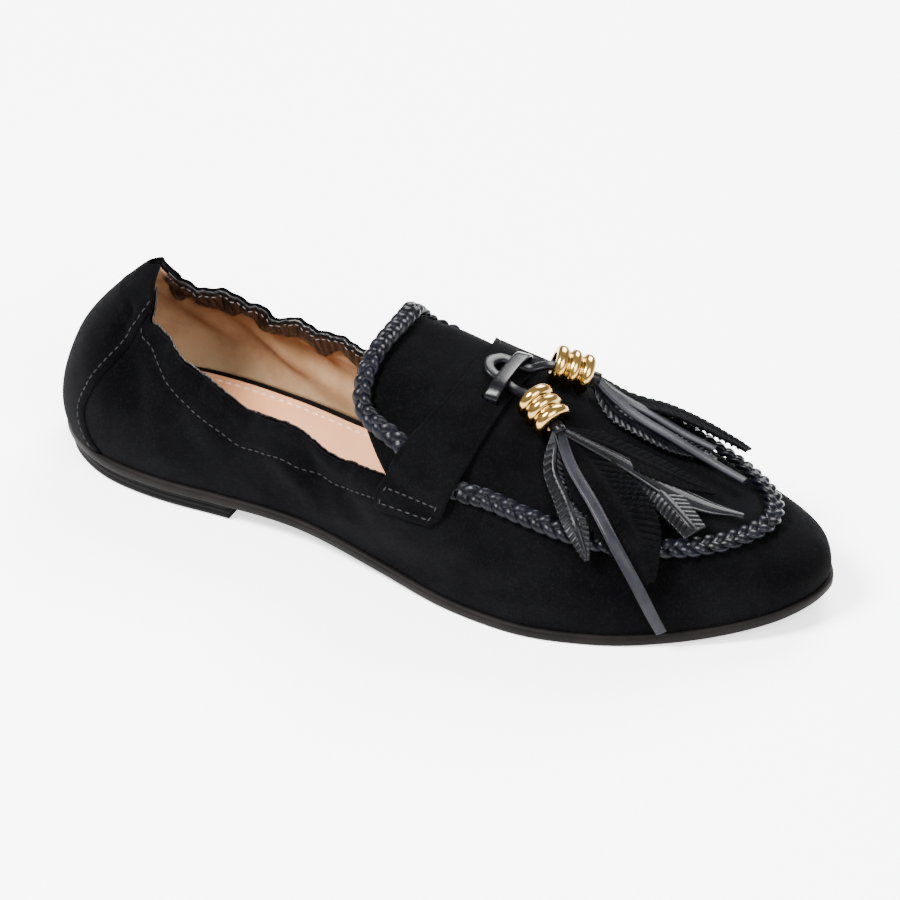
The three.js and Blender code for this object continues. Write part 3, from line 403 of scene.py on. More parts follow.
def relief(points, side):
    """How far the suede stands off the last: gathers at the topline and the listed creases."""
    x, z = points[..., 0], points[..., 2]
    along = x / LENGTH
    drop = np.maximum(0, rim_height(along, side) - z)
    open_part = smooth(0.06, 0.1, along) * (1 - smooth(0.47, 0.505, along))
    open_part = open_part * (1 - smooth(0.001, 0.004, z - rim_height(along, side)))
    raised = 0.0005 * np.exp(-((drop - 0.0025) / 0.0024) ** 2) * open_part
    seam = drop - curve(COLLAR_SEAM, 1, along)
    raised = raised - 0.0004 * np.exp(-(seam / 0.0011) ** 2) * open_part
    for way, station, width, depth, reach, lean in PUCKERS:
        away = (x + lean * drop) / LENGTH - station
        raised += depth * np.exp(-(away / width) ** 2 - (drop / reach) ** 2) * open_part * (side == way)
    ruffle = np.sin(x * 2 * np.pi / 0.0043 + 2.2 * np.sin(x * 2 * np.pi / 0.031))
    raised += 0.00012 * ruffle * np.exp(-(drop / 0.004) ** 2) * open_part
    for way, station, height, turn, long, wide, depth in CREASES:
        c, s = math.cos(math.radians(turn)), math.sin(math.radians(turn))
        dx, dz = x - station * LENGTH, z - height
        u, w = dx * c + dz * s, dz * c - dx * s
        raised += depth * np.exp(-(u / long) ** 2 - (w / wide) ** 2) * (side == way)
    raised *= smooth(0.0, 0.006, z - seat(x))
    return raised


def upper_surface(quarter_steps, vamp_steps, low_rows, tongue_rows, shaping=1.0, drop=0.0):
    """The upper's outer surface; drop lowers its topline."""
    join_angle = float(angle_at(JOIN))
    join_climb = {side: float(climb_to(join_angle, side, rim_height(JOIN, side) - drop))
                  for side in (-1, 1)}
    toe_climb = (join_climb[-1] + join_climb[1]) / 2
    surfaces = []
    for side in (-1, 1):
        angle = np.linspace(0, join_angle, quarter_steps + 1)
        top = climb_to(angle, side, rim_height(along_at(angle), side) - drop)
        climb = np.linspace(0, 1, low_rows + 1)[:, None] * top
        angle = np.broadcast_to(angle, climb.shape)
        k = np.arange(low_rows + tongue_rows + 1)[:, None]
        low, above = np.minimum(1, k / low_rows), np.maximum(0, (k - low_rows) / tongue_rows)
        start = np.where(k <= low_rows, join_angle, angle_at(tongue_edge(1 - above)))
        share = np.linspace(0, 1, vamp_steps + 1)
        vamp_angle = start + (np.pi - start) * share
        vamp_climb = join_climb[side] + (toe_climb - join_climb[side]) * share
        vamp_climb = vamp_climb * low * (1 - above) + above
        for part_angle, part_climb in ((angle, climb), (vamp_angle, vamp_climb)):
            points, out = on_last(along_at(part_angle), side, part_climb)
            points = points + out * (relief(points, side) * shaping)[..., None]
            surfaces.append(grid(points, turned=side > 0))
    return weld(surfaces)


suede = new_material("black_suede", suede_look((0.0003, 0.0003, 0.0004), (0.0023, 0.0023, 0.0028)))
surface = upper_surface(150, 120, 44, 40)
add_mesh("upper_suede", *thicken(*surface, -SUEDE, 0), suede, "upper")

# Lining: thin tan lining suede inside the upper, seen at the heel and in the mouth; it folds
# softly where the elastic gathers the topline, and ends just below it.
def lining_look(graph):
    shade = graph.noise(60.0, 4.0, 0.6).step(0.35, 0.7)
    tone = graph.mix(shade * 0.6, (0.21, 0.120, 0.058), (0.36, 0.235, 0.135))
    grain = graph.noise(1400.0, 3.0, 0.6)
    return {"Base Color": tone, "Roughness": 0.85, "Specular IOR Level": 0.2,
            "Normal": graph.bump(grain, 0.0002, 0.5)}


LINING_DROP, LINING_INNER, LINING_OUTER = 0.0012, -WALL + 0.00005, -SUEDE - 0.0001
lining = new_material("tan_lining", lining_look)
surface = upper_surface(110, 80, 30, 26, 0.9, LINING_DROP)
add_mesh("upper_lining", *thicken(*surface, LINING_INNER, LINING_OUTER), lining, "upper")

# Topline binding: a gathered, slightly shiny dark ribbon sewn inside the collar on both
# sides, from ahead of the heel tab to the tongue.
BINDING_WIDTH, BINDING_RISE = 0.0085, 0.0008
BINDING_START, BINDING_END, BINDING_STEPS, BINDING_ROWS = 0.066, 0.497, 561, 13
PLEAT, RIBBON = 0.0026, 0.0004


def binding_look(graph):
    shade = graph.noise(90.0, 4.0, 0.6).step(0.3, 0.7)
    tone = graph.mix(shade, (0.0010, 0.0009, 0.0009), (0.0042, 0.0032, 0.0030))
    grain = graph.noise(900.0, 3.0, 0.6)
    return {"Base Color": tone, "Roughness": 0.34, "Specular IOR Level": 0.14, "Coat Weight": 0.04,
            "Coat Roughness": 0.2, "Normal": graph.bump(grain, 0.00015, 0.5)}


def binding_surface(side):
    angle = np.linspace(float(angle_at(BINDING_START)), float(angle_at(BINDING_END)), BINDING_STEPS)
    along = along_at(angle)
    across = np.linspace(0, 1, BINDING_ROWS)[:, None]
    top = rim_height(along, side) + BINDING_RISE - 0.0003
    hang = 1 + 0.22 * np.sin(2 * np.pi * along / 0.071) + 0.12 * np.sin(2 * np.pi * along / 0.043 + 1)
    height = top - (1 - across) * BINDING_WIDTH * hang
    climb = climb_to(angle_at(along), side, height)
    points, out = on_last(along, side, climb)
    base = relief(points, side)
    x = points[..., 0]
    pleat = np.sin(2 * np.pi * x / PLEAT + 1.3 * np.sin(2 * np.pi * x / 0.019) + 0.7 * across)
    puff = 0.0003 * pleat * (0.35 + 0.65 * np.sin(np.pi * across)) + 0.0005 * np.sin(np.pi * across)
    roll = 0.0006 * smooth(0.85, 1.0, across)
    lift = base - WALL - 0.00035 - puff + roll
    return grid(points + out * lift[..., None], turned=side > 0)


binding = new_material("gathered_binding", binding_look)
for side, name in ((-1, "outer"), (1, "inner")):
    add_mesh("binding_" + name, *thicken(*binding_surface(side), -RIBBON, 0.0), binding, "upper")

# Heel counter: a panel of the same suede laid round the back, its front edge curving down from
# the topline behind the ankle to the sole, sewn close to that edge.
COUNTER_SEAM = [
    (0, 0.1), (0.09, 0.078), (0.16, 0.068), (0.28, 0.076), (0.4, 0.088), (0.7, 0.1),
]
COUNTER_FOOT, COUNTER_RISE, COUNTER_LIFT = 0.02, 0.0002, GAP * 0.3
COUNTER_THICKNESS, COUNTER_WALL = 0.0009, 0.00085


def counter_points(side, share_along, climb_share, lift):
    """Places on the counter: shares from the back seam to its front edge, and up its height."""
    drop_angle = np.zeros_like(climb_share)
    top = climb_to(drop_angle, side, rim_height(0.0, side) + COUNTER_RISE)
    climb = COUNTER_FOOT + (top - COUNTER_FOOT) * climb_share
    for _ in range(6):
        edge = curve(COUNTER_SEAM, 1, climb)
        angle = angle_at(edge * share_along ** 2)
        top = climb_to(angle, side, rim_height(along_at(angle), side) + COUNTER_RISE)
        climb = COUNTER_FOOT + (top - COUNTER_FOOT) * climb_share
    points, out = on_last(along_at(angle), side, climb)
    return points + out * (relief(points, side) + lift)[..., None]


def counter_surface(side):
    share_along = np.linspace(0, 1, 61)
    climb_share = np.linspace(0, 1, 61)[:, None]
    share_along, climb_share = np.broadcast_arrays(share_along, climb_share)
    edge = smooth(0.94, 1.0, share_along)
    lift = COUNTER_LIFT + COUNTER_THICKNESS * (1 - 0.6 * edge ** 2)
    return grid(counter_points(side, share_along, climb_share, lift), turned=side > 0)


counter = weld([counter_surface(-1), counter_surface(1)])
add_mesh("counter_suede", *thicken(*counter, -COUNTER_WALL, 0.0), suede, "heel_counter")

# Outsole: thin dark rubber with a rounded edge under the whole shoe, raised over the heel and
# lifted at the toe; the upper's lower edge is cemented to it.
SOLE_MARGIN, SOLE_ROUND, PLAN_STEPS = 0.0012, 0.0011, 96


def rubber_look(dark, light, roughness):
    def build(graph):
        shade = graph.noise(70.0, 4.0, 0.6).step(0.3, 0.75)
        grain = graph.noise(1800.0, 3.0, 0.6)
        return {"Base Color": graph.mix(shade, dark, light), "Roughness": roughness,
                "Specular IOR Level": 0.05, "Normal": graph.bump(grain, 0.00012, 0.4)}
    return build


def plan_ring(margin, steps=PLAN_STEPS):
    """Closed plan outline: the outer side from heel to toe, then the inner side back."""
    angle = np.linspace(0, np.pi, steps + 1)
    outer = outline(angle, -1, margin)
    inner = outline(angle[-2:0:-1], 1, margin)
    return np.concatenate([outer, inner])


def plate(margin, bottom, top, round_by, rings=40):
    """Rings of a plate over the outline: from the middle line below, round the edge, and back."""
    ring = plan_ring(margin)
    x = ring[:, 0]
    count = len(ring)
    spine = np.stack([np.clip(x, 0.02 * LENGTH, 0.97 * LENGTH), np.zeros(count)], -1)
    spine[:, 1] = curve(SECTIONS, 2, np.clip(spine[:, 0] / LENGTH, 0, 1)) * BALL_WIDTH * 0.5
    away = ring - spine
    far = np.linalg.norm(away, axis=1, keepdims=True)
    layers = []
    shares = np.linspace(0, 1, rings + 1) ** 0.8
    for share in shares[1:-1]:
        place = spine + away * (share * (1 - round_by / far))
        layers.append(np.concatenate([place, bottom(place[:, 0])[:, None]], 1))
    for turn in np.linspace(-np.pi / 2, np.pi / 2, 9):
        place = ring - away / far * round_by * (1 - np.cos(turn))
        low, high = bottom(place[:, 0]), top(place[:, 0])
        z = np.where(turn < 0, low + round_by * (1 + np.sin(turn)), high - round_by * (1 - np.sin(turn)))
        layers.append(np.concatenate([place, z[:, None]], 1))
    for share in shares[-2:0:-1]:
        place = spine + away * (share * (1 - round_by / far))
        layers.append(np.concatenate([place, top(place[:, 0])[:, None]], 1))
    points = np.array(layers)
    return np.concatenate([points, points[:, :1]], 1)


def cap_plate(name, margin, bottom, top, round_by, material, node):
    """The plate's mesh; its two middle seams are filled with strips between facing points."""
    points = plate(margin, bottom, top, round_by)
    rows, columns = points.shape[:2]
    base, faces = grid(points)
    half = (columns - 1) // 2
    strips = []
    for row, turned in ((0, False), (rows - 1, True)):
        for k in range(half):
            a, b = row * columns + k, row * columns + k + 1
            d = row * columns + columns - 1 - k
            c = d - 1
            strips.append((a, d, c, b) if not turned else (a, b, c, d))
    faces = np.concatenate([faces, np.array(strips)])
    add_mesh(name, *weld([(base, faces)], 1e-7), material, node)


def sole_top(x):
    return underside(x) + SOLE_THICKNESS


sole_look = rubber_look((0.0022, 0.0016, 0.0016), (0.0052, 0.0038, 0.0038), 0.6)
sole_rubber = new_material("sole_edge", sole_look)
cap_plate("outsole_rubber", SOLE_MARGIN, underside, sole_top, SOLE_ROUND, sole_rubber, "outsole")

# Heel: a low stack of dark rubber with two grooves round it and a straight breast, fixed under
# the rear of the outsole.
HEEL_MARGIN, HEEL_GAP = -0.0006, 0.0003


def heel_plate():
    """The heel: the rear of the outline, closed by a straight breast, flat underneath."""
    angle = np.linspace(0, float(angle_at(BREAST)), 61)
    outer, inner = outline(angle, -1, HEEL_MARGIN), outline(angle[:0:-1], 1, HEEL_MARGIN)
    outer[:, 0] = np.minimum(outer[:, 0], BREAST * LENGTH)
    ring = np.concatenate([outer, inner])
    centre = np.array([0.14 * LENGTH, 0.0])
    away = ring - centre
    layers = []
    ceiling = HEEL_RISE - HEEL_GAP
    profile = [(0.0, 0.0), (0.5, 0.0), (0.97, 0.0), (1.0, 0.0006), (1.0, 0.0018), (0.992, 0.0021),
               (1.0, 0.0024), (1.0, 0.0034), (0.992, 0.0037), (1.0, 0.004), (1.0, ceiling - 0.0003),
               (0.985, ceiling), (0.5, ceiling), (0.0, ceiling)]
    for share, z in profile:
        layers.append(np.concatenate([centre + away * share, np.full((len(ring), 1), z)], 1))
    points = np.array(layers)
    return np.concatenate([points, points[:, :1]], 1)


heel_look = rubber_look((0.0010, 0.0008, 0.0009), (0.0024, 0.0021, 0.0022), 0.65)
heel_rubber = new_material("heel_rubber", heel_look)
add_mesh("heel_rubber", *weld([grid(heel_plate())], 1e-7), heel_rubber, "heel")

# Footbed: a thin board with a black leather edge, fixed on the outsole inside the upper.
FOOTBED_THICKNESS, FOOTBED_ROUND = 0.0018, 0.0006
FOOTBED_MARGIN = -WALL - 2 * GAP


def footbed_top(x):
    return seat(x) + FOOTBED_THICKNESS


footbed_look = rubber_look((0.0014, 0.0014, 0.0016), (0.0030, 0.0030, 0.0034), 0.5)
footbed_leather = new_material("black_footbed", footbed_look)
cap_plate("footbed_board", FOOTBED_MARGIN, seat, footbed_top, FOOTBED_ROUND, footbed_leather, "footbed")

# Sock: a tan leather insole pad fixed on the footbed, a little smaller than it; its sewn border
# comes with the other stitches.
SOCK_THICKNESS, SOCK_INSET, SOCK_ROUND = 0.0012, 0.004, 0.0006
SOCK_MARGIN = FOOTBED_MARGIN - SOCK_INSET


def sock_look(graph):
    shade = graph.noise(26.0, 4.0, 0.6).step(0.3, 0.75)
    tone = graph.mix(shade, (0.48, 0.210, 0.100), (0.56, 0.265, 0.140))
    grain = graph.noise(1100.0, 4.0, 0.6)
    return {"Base Color": tone, "Roughness": 0.5, "Specular IOR Level": 0.25,
            "Normal": graph.bump(grain, 0.00012, 0.35)}


def sock_low(x):
    return footbed_top(x) + GAP


def sock_top(x):
    return sock_low(x) + SOCK_THICKNESS


sock_leather = new_material("tan_sock", sock_look)
cap_plate("sock_leather", SOCK_MARGIN, sock_low, sock_top, SOCK_ROUND, sock_leather, "insole_pad")

# Plaited cord: three strands of glossy blue-black leather in a flat plait round the apron,
# over the toe and round the tongue's end; it lies on the upper and the strap holds it down.
BRAID_WIDTH, BRAID_HEIGHT, BRAID_INSET, PRESSED = 0.0054, 0.0032, 0.009, 0.5
STEPS, TURNS, SWING, CROSSING = 1500, 27, 0.0016, 0.00072
STRAND_WIDTH, STRAND_THICKNESS = 0.0032, 0.00185
STRAP_REAR, STRAP_FRONT = 0.5, 0.612
JOIN_CLIMB = {side: float(climb_to(float(angle_at(JOIN)), side, rim_height(JOIN, side)))
              for side in (-1, 1)}
BRAID_ROUTE = [
    (-1, 0.518, 0.445), (-1, 0.556, 0.42), (-1, 0.596, 0.415), (-1, 0.64, 0.45), (-1, 0.69, 0.462),
    (-1, 0.748, 0.464), (-1, 0.8, 0.475), (-1, 0.849, 0.495), (-1, 0.897, 0.52), (-1, 0.955, 0.57),
    (-1, 0.999, 0.61), (1, 0.985, 0.61), (1, 0.95, 0.6), (1, 0.9, 0.58), (1, 0.85, 0.55), (1, 0.79, 0.53),
    (1, 0.72, 0.52), (1, 0.65, 0.5), (1, 0.596, 0.48), (1, 0.556, 0.48), (1, 0.518, 0.5),
]
for side in (1, -1):
    shares = (0.72, 0.52, 0.3, 0.12)
    for share in shares if side > 0 else shares[::-1]:
        edge = float(tongue_edge(share)) + BRAID_INSET
        BRAID_ROUTE.append((side, edge, 1 + (JOIN_CLIMB[side] - 1) * share))


def route(points, ups, count, closed=False):
    """A smooth curve through points: place, direction, across and up at each step; its length."""
    points, ups = np.asarray(points, float), np.asarray(ups, float)
    if closed:
        points, ups = (np.concatenate([part[-1:], part, part[:2]]) for part in (points, ups))
    else:
        points = np.concatenate([2 * points[:1] - points[1:2], points, 2 * points[-1:] - points[-2:-1]])
        ups = np.concatenate([ups[:1], ups, ups[-1:]])
    knots = np.concatenate([[0], np.cumsum(np.linalg.norm(np.diff(points, axis=0), axis=1) ** 0.5)])

    def blend(first, second, low, high, t):
        return (high - t) / (high - low) * first + (t - low) / (high - low) * second

    fine = []
    for i in range(1, len(points) - 2):
        t = np.linspace(knots[i], knots[i + 1], 40, endpoint=False)[:, None]
        k = knots[i - 1:i + 3]
        p, u = points[i - 1:i + 3], ups[i:i + 2]
        a = [blend(p[j], p[j + 1], k[j], k[j + 1], t) for j in range(3)]
        b = [blend(a[j], a[j + 1], k[j], k[j + 2], t) for j in range(2)]
        spot = blend(b[0], b[1], k[1], k[2], t)
        share = (t - k[1]) / (k[2] - k[1])
        fine.append(np.concatenate([spot, u[0] * (1 - share) + u[1] * share], 1))
    last = np.concatenate([points[-2], ups[-2]])[None]
    fine = np.concatenate(fine + [last])
    length = np.concatenate([[0], np.cumsum(np.linalg.norm(np.diff(fine[:, :3], axis=0), axis=1))])
    at = np.linspace(0, length[-1], count + 1)
    row = np.stack([np.interp(at, length, fine[:, k]) for k in range(6)], 1)
    place, up = row[:, :3], row[:, 3:]
    ahead = np.gradient(place, axis=0)
    if closed:
        ahead[0] = ahead[-1] = place[1] - place[-2]
    ahead /= np.linalg.norm(ahead, axis=1, keepdims=True)
    up = up - ahead * (up * ahead).sum(1, keepdims=True)
    up /= np.linalg.norm(up, axis=1, keepdims=True)
    return place, ahead, np.cross(up, ahead), up, length[-1]


def tube(place, across, up, wide, high, sides=8, closed=False, power=1.0):
    """A sleeve round a run of places, closed on itself or with its ends drawn to a point."""
    turn = np.linspace(0, 2 * np.pi, sides, endpoint=False)
    c, s = np.cos(turn), np.sin(turn)
    c, s = np.sign(c) * np.abs(c) ** power, np.sign(s) * np.abs(s) ** power
    wide, high = np.broadcast_to(wide, (len(place),)), np.broadcast_to(high, (len(place),))
    points = place[:, None] + across[:, None] * (c * wide[:, None] / 2)[..., None]
    points = points + up[:, None] * (s * high[:, None] / 2)[..., None]
    if closed:
        points = np.concatenate([points[:-1], points[:1]])
    else:
        ends = (np.broadcast_to(end, points[:1].shape) for end in (place[:1, None], place[-1:, None]))
        first, last = ends
        points = np.concatenate([first, points, last])
    points = np.concatenate([points, points[:, :1]], 1)
    return weld([grid(points)], 1e-8)


def pressed(place):
    """1 where the cord lies under the strap, and 0 away from it."""
    middle, half = (STRAP_REAR + STRAP_FRONT) / 2 * LENGTH, (STRAP_FRONT - STRAP_REAR) / 2 * LENGTH
    return 1 - smooth(half, half + BRAID_WIDTH, np.abs(place[:, 0] - middle))


def glossy_look(dark, light, roughness, coat):
    def build(graph):
        shade = graph.noise(150.0, 4.0, 0.6).step(0.3, 0.75)
        grain = graph.noise(1500.0, 4.0, 0.6)
        return {"Base Color": graph.mix(shade, dark, light), "Roughness": roughness,
                "Specular IOR Level": 0.09, "Coat Weight": coat, "Coat Roughness": 0.2,
                "Normal": graph.bump(grain, 0.00014, 0.45)}
    return build


cord_look = glossy_look((0.0006, 0.0006, 0.0013), (0.0034, 0.0036, 0.0066), 0.34, 0.02)
cord_leather = new_material("cord_leather", cord_look)
cord_sides, cord_stations, cord_climbs = np.array(BRAID_ROUTE).T
cord_route = on_last(cord_stations, cord_sides, cord_climbs, GAP + BRAID_HEIGHT / 2)
cord_line, _, across, up, _ = route(*cord_route, STEPS, True)
flat = 1 + (PRESSED - 1) * pressed(cord_line)
cord_line = cord_line - up * (BRAID_HEIGHT * (1 - flat) / 2)[:, None]
strands = []
for strand in range(3):
    turn = np.linspace(0, 2 * np.pi * TURNS, STEPS + 1) + strand * 2 * np.pi / 3
    middle = cord_line + across * (np.sin(turn) * SWING)[:, None]
    middle = middle + up * (np.sin(2 * turn) * CROSSING * flat)[:, None]
    run = np.gradient(middle, axis=0)
    run[0] = run[-1] = middle[1] - middle[-2]
    run /= np.linalg.norm(run, axis=1, keepdims=True)
    side_way = np.cross(up, run)
    side_way /= np.linalg.norm(side_way, axis=1, keepdims=True)
    top = np.cross(run, side_way)
    strands.append(tube(middle, side_way, top, STRAND_WIDTH, STRAND_THICKNESS * flat, 8, True))
starts = np.cumsum([0] + [len(points) for points, _ in strands[:-1]])
cord_points = np.concatenate([points for points, _ in strands])
cord_faces = np.concatenate([faces + start for (_, faces), start in zip(strands, starts)])
add_mesh("plaited_cord", cord_points, cord_faces, cord_leather, "braid")

# Saddle strap: a band of the same suede over the instep, sewn down at both ends with a
# stitched box; it arches over the plait, and two slots take the ends of the lace keeper.
STRAP_EDGES = [
    (0.15, 0.492, 0.574), (0.22, 0.496, 0.58), (0.3, 0.507, 0.589), (0.42, 0.52, 0.598),
    (0.6, 0.537, 0.607), (0.8, 0.552, 0.613), (1, 0.555, 0.615),
]
STRAP_END_REAR, STRAP_END_FRONT, STRAP_CORNER = 0.152, 0.228, 0.1
STRAP_THICKNESS, STRAP_RAMP = 0.0013, 0.007
KEEPER, KEEPER_WIDTH, KEEPER_THICKNESS = 0.596, 0.0044, 0.001
KEEPER_END = {-1: 0.85, 1: 0.875}
STRAP_TOP = GAP + STRAP_THICKNESS


def arch(points):
    """How far the strap is lifted by the pressed plait under it."""
    flat_points = points.reshape(-1, 3)
    near = np.full(len(flat_points), 1.0)
    for spot in cord_line[::6]:
        near = np.minimum(near, np.linalg.norm(flat_points - spot, axis=1))
    clear = PRESSED * BRAID_HEIGHT * 1.08 + GAP
    half = BRAID_WIDTH / 2 + GAP
    return (clear * (1 - smooth(half, half + STRAP_RAMP, near))).reshape(points.shape[:-1])


def strap_place(side, across_share, share):
    """Points on the strap's underside: across from its rear edge, up from its end to the ridge."""
    corner = STRAP_CORNER * np.maximum(0, 1 - share / 0.06) ** 2
    u = corner + (1 - 2 * corner) * across_share
    climb = STRAP_END_REAR + (STRAP_END_FRONT - STRAP_END_REAR) * u
    climb = climb + (1 - climb) * share
    along = curve(STRAP_EDGES, 1, climb) * (1 - u) + curve(STRAP_EDGES, 2, climb) * u
    points, out = on_last(along, side, climb)
    return points + out * (GAP + arch(points))[..., None], out


def strap_surface(side):
    share = np.concatenate([np.linspace(0, 0.06, 9), np.linspace(0.06, 1, 131)[1:]])[:, None]
    across_share = np.linspace(0, 1, 41)
    across_share, share = np.broadcast_arrays(across_share, share)
    points, out = strap_place(side, across_share, share)
    edge = np.minimum(np.minimum(across_share, 1 - across_share) * 0.028, share * 0.03)
    puff = -0.00015 * np.exp(-((edge - 0.0022) / 0.0008) ** 2)
    return grid(points + out * puff[..., None], turned=side > 0)


def strap_slots(points, faces):
    """The strap's faces without those where the keeper's ends pass through."""
    middle = points[faces].mean(1)
    keep = np.ones(len(faces), bool)
    for side in (-1, 1):
        end, out = on_last(KEEPER, side, KEEPER_END[side], GAP)
        away = middle - end
        away -= out * (away * out).sum(1, keepdims=True)
        beside = np.abs(away[:, 0]) > KEEPER_WIDTH / 2 + 0.0003
        keep &= beside | (np.linalg.norm(away[:, 1:], axis=1) > KEEPER_THICKNESS)
    return points, faces[keep]


strap_points, strap_faces = strap_slots(*weld([strap_surface(-1), strap_surface(1)]))
strap_suede = new_material("strap_suede", suede_look((0.0003, 0.0003, 0.0004), (0.0023, 0.0023, 0.0028)))
strap = thicken(strap_points, strap_faces, 0.0, STRAP_THICKNESS)
add_mesh("strap_suede", *strap, strap_suede, "saddle_strap")

# Lace keeper: a short flat bar of glossy black leather over the tie, its ends tucked into the
# strap's two slots.
KEEPER_TOP = STRAP_TOP + 3 * GAP + 0.0018 + KEEPER_THICKNESS / 2
keeper_look = glossy_look((0.0008, 0.0008, 0.0012), (0.0034, 0.0034, 0.0048), 0.25, 0.07)
keeper_leather = new_material("keeper_leather", keeper_look)
keeper_rows = [
    (-1, KEEPER_END[-1], GAP * 2), (-1, KEEPER_END[-1], STRAP_TOP * 0.6 + KEEPER_TOP * 0.4),
    (-1, 0.893, KEEPER_TOP), (1, 1, KEEPER_TOP), (1, 0.925, KEEPER_TOP),
    (1, KEEPER_END[1], STRAP_TOP * 0.6 + KEEPER_TOP * 0.4), (1, KEEPER_END[1], GAP * 2),
]
keeper_sides, keeper_climbs, keeper_lifts = np.array(keeper_rows).T
keeper_route = on_last(KEEPER, keeper_sides, keeper_climbs, keeper_lifts)
keeper_place, keeper_ahead, _, _, _ = route(*keeper_route, 60)
forward = np.array([1.0, 0.0, 0.0]) - keeper_ahead * keeper_ahead[:, :1]
forward /= np.linalg.norm(forward, axis=1, keepdims=True)
keeper_up = np.cross(keeper_ahead, forward)
keeper = tube(keeper_place, forward, keeper_up, KEEPER_WIDTH, KEEPER_THICKNESS, 20, False, 0.4)
add_mesh("keeper_bar", *keeper, keeper_leather, "lace_keeper")

# Tie: a round-edged leather lace in a loop on the strap under the keeper; its two legs run down
# into the beads.
TIE_WIDTH, TIE_THICKNESS, BEAD_RADIUS = 0.0036, 0.0018, 0.0062
TIE_LIFT, BEAD_LIFT = STRAP_TOP + GAP + TIE_THICKNESS / 2, GAP * 2 + BEAD_RADIUS
tie_look = glossy_look((0.0008, 0.0008, 0.0012), (0.0034, 0.0034, 0.0048), 0.3, 0.05)
tie_leather = new_material("tie_leather", tie_look)
TIE_ROWS = [
    (-1, 0.647, 0.893, BEAD_LIFT), (-1, 0.632, 0.912, TIE_LIFT * 0.25 + BEAD_LIFT * 0.75),
    (-1, 0.612, 0.935, TIE_LIFT + GAP), (-1, 0.596, 0.948, TIE_LIFT), (-1, 0.578, 0.958, TIE_LIFT),
    (-1, 0.571, 0.985, TIE_LIFT), (1, 0.578, 0.985, TIE_LIFT), (1, 0.596, 0.97, TIE_LIFT),
    (1, 0.612, 0.955, TIE_LIFT + GAP), (1, 0.628, 0.925, TIE_LIFT * 0.25 + BEAD_LIFT * 0.75),
    (1, 0.642, 0.9, BEAD_LIFT),
]
tie_sides, tie_stations, tie_climbs, tie_lifts = np.array(TIE_ROWS).T
tie_route = on_last(tie_stations, tie_sides, tie_climbs, tie_lifts)
tie_place, _, tie_across, tie_up, _ = route(*tie_route, 120)
lace = tube(tie_place, tie_across, tie_up, TIE_WIDTH, TIE_THICKNESS, 16, False, 0.7)
add_mesh("tie_lace", *lace, tie_leather, "tie")

# Beads: polished gold-coloured metal ferrules with three round ribs, one on each leg of the tie.
BEAD_LENGTH = 0.012
BEAD_RIBS = [
    (-0.5, 0.74), (-0.485, 0.84), (-0.46, 0.91), (-0.42, 0.965), (-0.34, 1.0), (-0.26, 0.965),
    (-0.22, 0.9), (-0.195, 0.82), (-0.17, 0.76), (-0.145, 0.82), (-0.12, 0.9), (-0.07, 0.98), (0.0, 1.01),
    (0.07, 0.98), (0.12, 0.9), (0.145, 0.82), (0.17, 0.76), (0.195, 0.82), (0.22, 0.9), (0.26, 0.965),
    (0.34, 1.0), (0.42, 0.965), (0.46, 0.91), (0.485, 0.84), (0.5, 0.74), (0.49, 0.6), (0.47, 0.42),
    (0.0, 0.403), (-0.47, 0.42), (-0.49, 0.6),
]
BEAD_ROUTE = {-1: ((0.636, 0.907), (0.68, 0.845)), 1: ((0.63, 0.915), (0.674, 0.855))}


def bead_frame(side):
    (rear, out), (front, _) = (on_last(along, side, climb, BEAD_LIFT) for along, climb in BEAD_ROUTE[side])
    way = (front - rear) / np.linalg.norm(front - rear)
    sideways = np.cross(out, way)
    sideways /= np.linalg.norm(sideways)
    return (rear + front) / 2, way, sideways, np.cross(way, sideways)


def bead_surface(side):
    centre, way, sideways, top = bead_frame(side)
    turn = np.linspace(0, 2 * np.pi, 65)[:-1]
    rings = []
    for at, radius in BEAD_RIBS + BEAD_RIBS[:1]:
        round_it = np.outer(np.cos(turn), sideways) + np.outer(np.sin(turn), top)
        rings.append(centre + way * at * BEAD_LENGTH + round_it * radius * BEAD_RADIUS)
    points = np.array(rings)
    return weld([grid(np.concatenate([points, points[:, :1]], 1))], 1e-7)


def gold_look(graph):
    haze = graph.noise(220.0, 3.0, 0.6)
    tone = graph.mix(haze, (0.30, 0.180, 0.045), (0.47, 0.310, 0.100))
    return {"Base Color": tone, "Metallic": 1.0, "Roughness": 0.12 + haze * 0.08}


gold = new_material("gold_metal", gold_look)
for side, name in ((-1, "bead_lateral"), (1, "bead_medial")):
    add_mesh(name + "_metal", *bead_surface(side), gold, name)

# Tassels: from each bead a fan of feather leaves, slashed along both edges, and thin strips; the
# leaves are glossy leather or black suede and lie over the front of the upper.
TASSEL_NECK, LEAF_THICKNESS, LEAF_WIDTH, STEM = 0.003, 0.0009, 0.02, 0.0038
BARB = {"suede": 0.0023, "glossy": 0.0019}
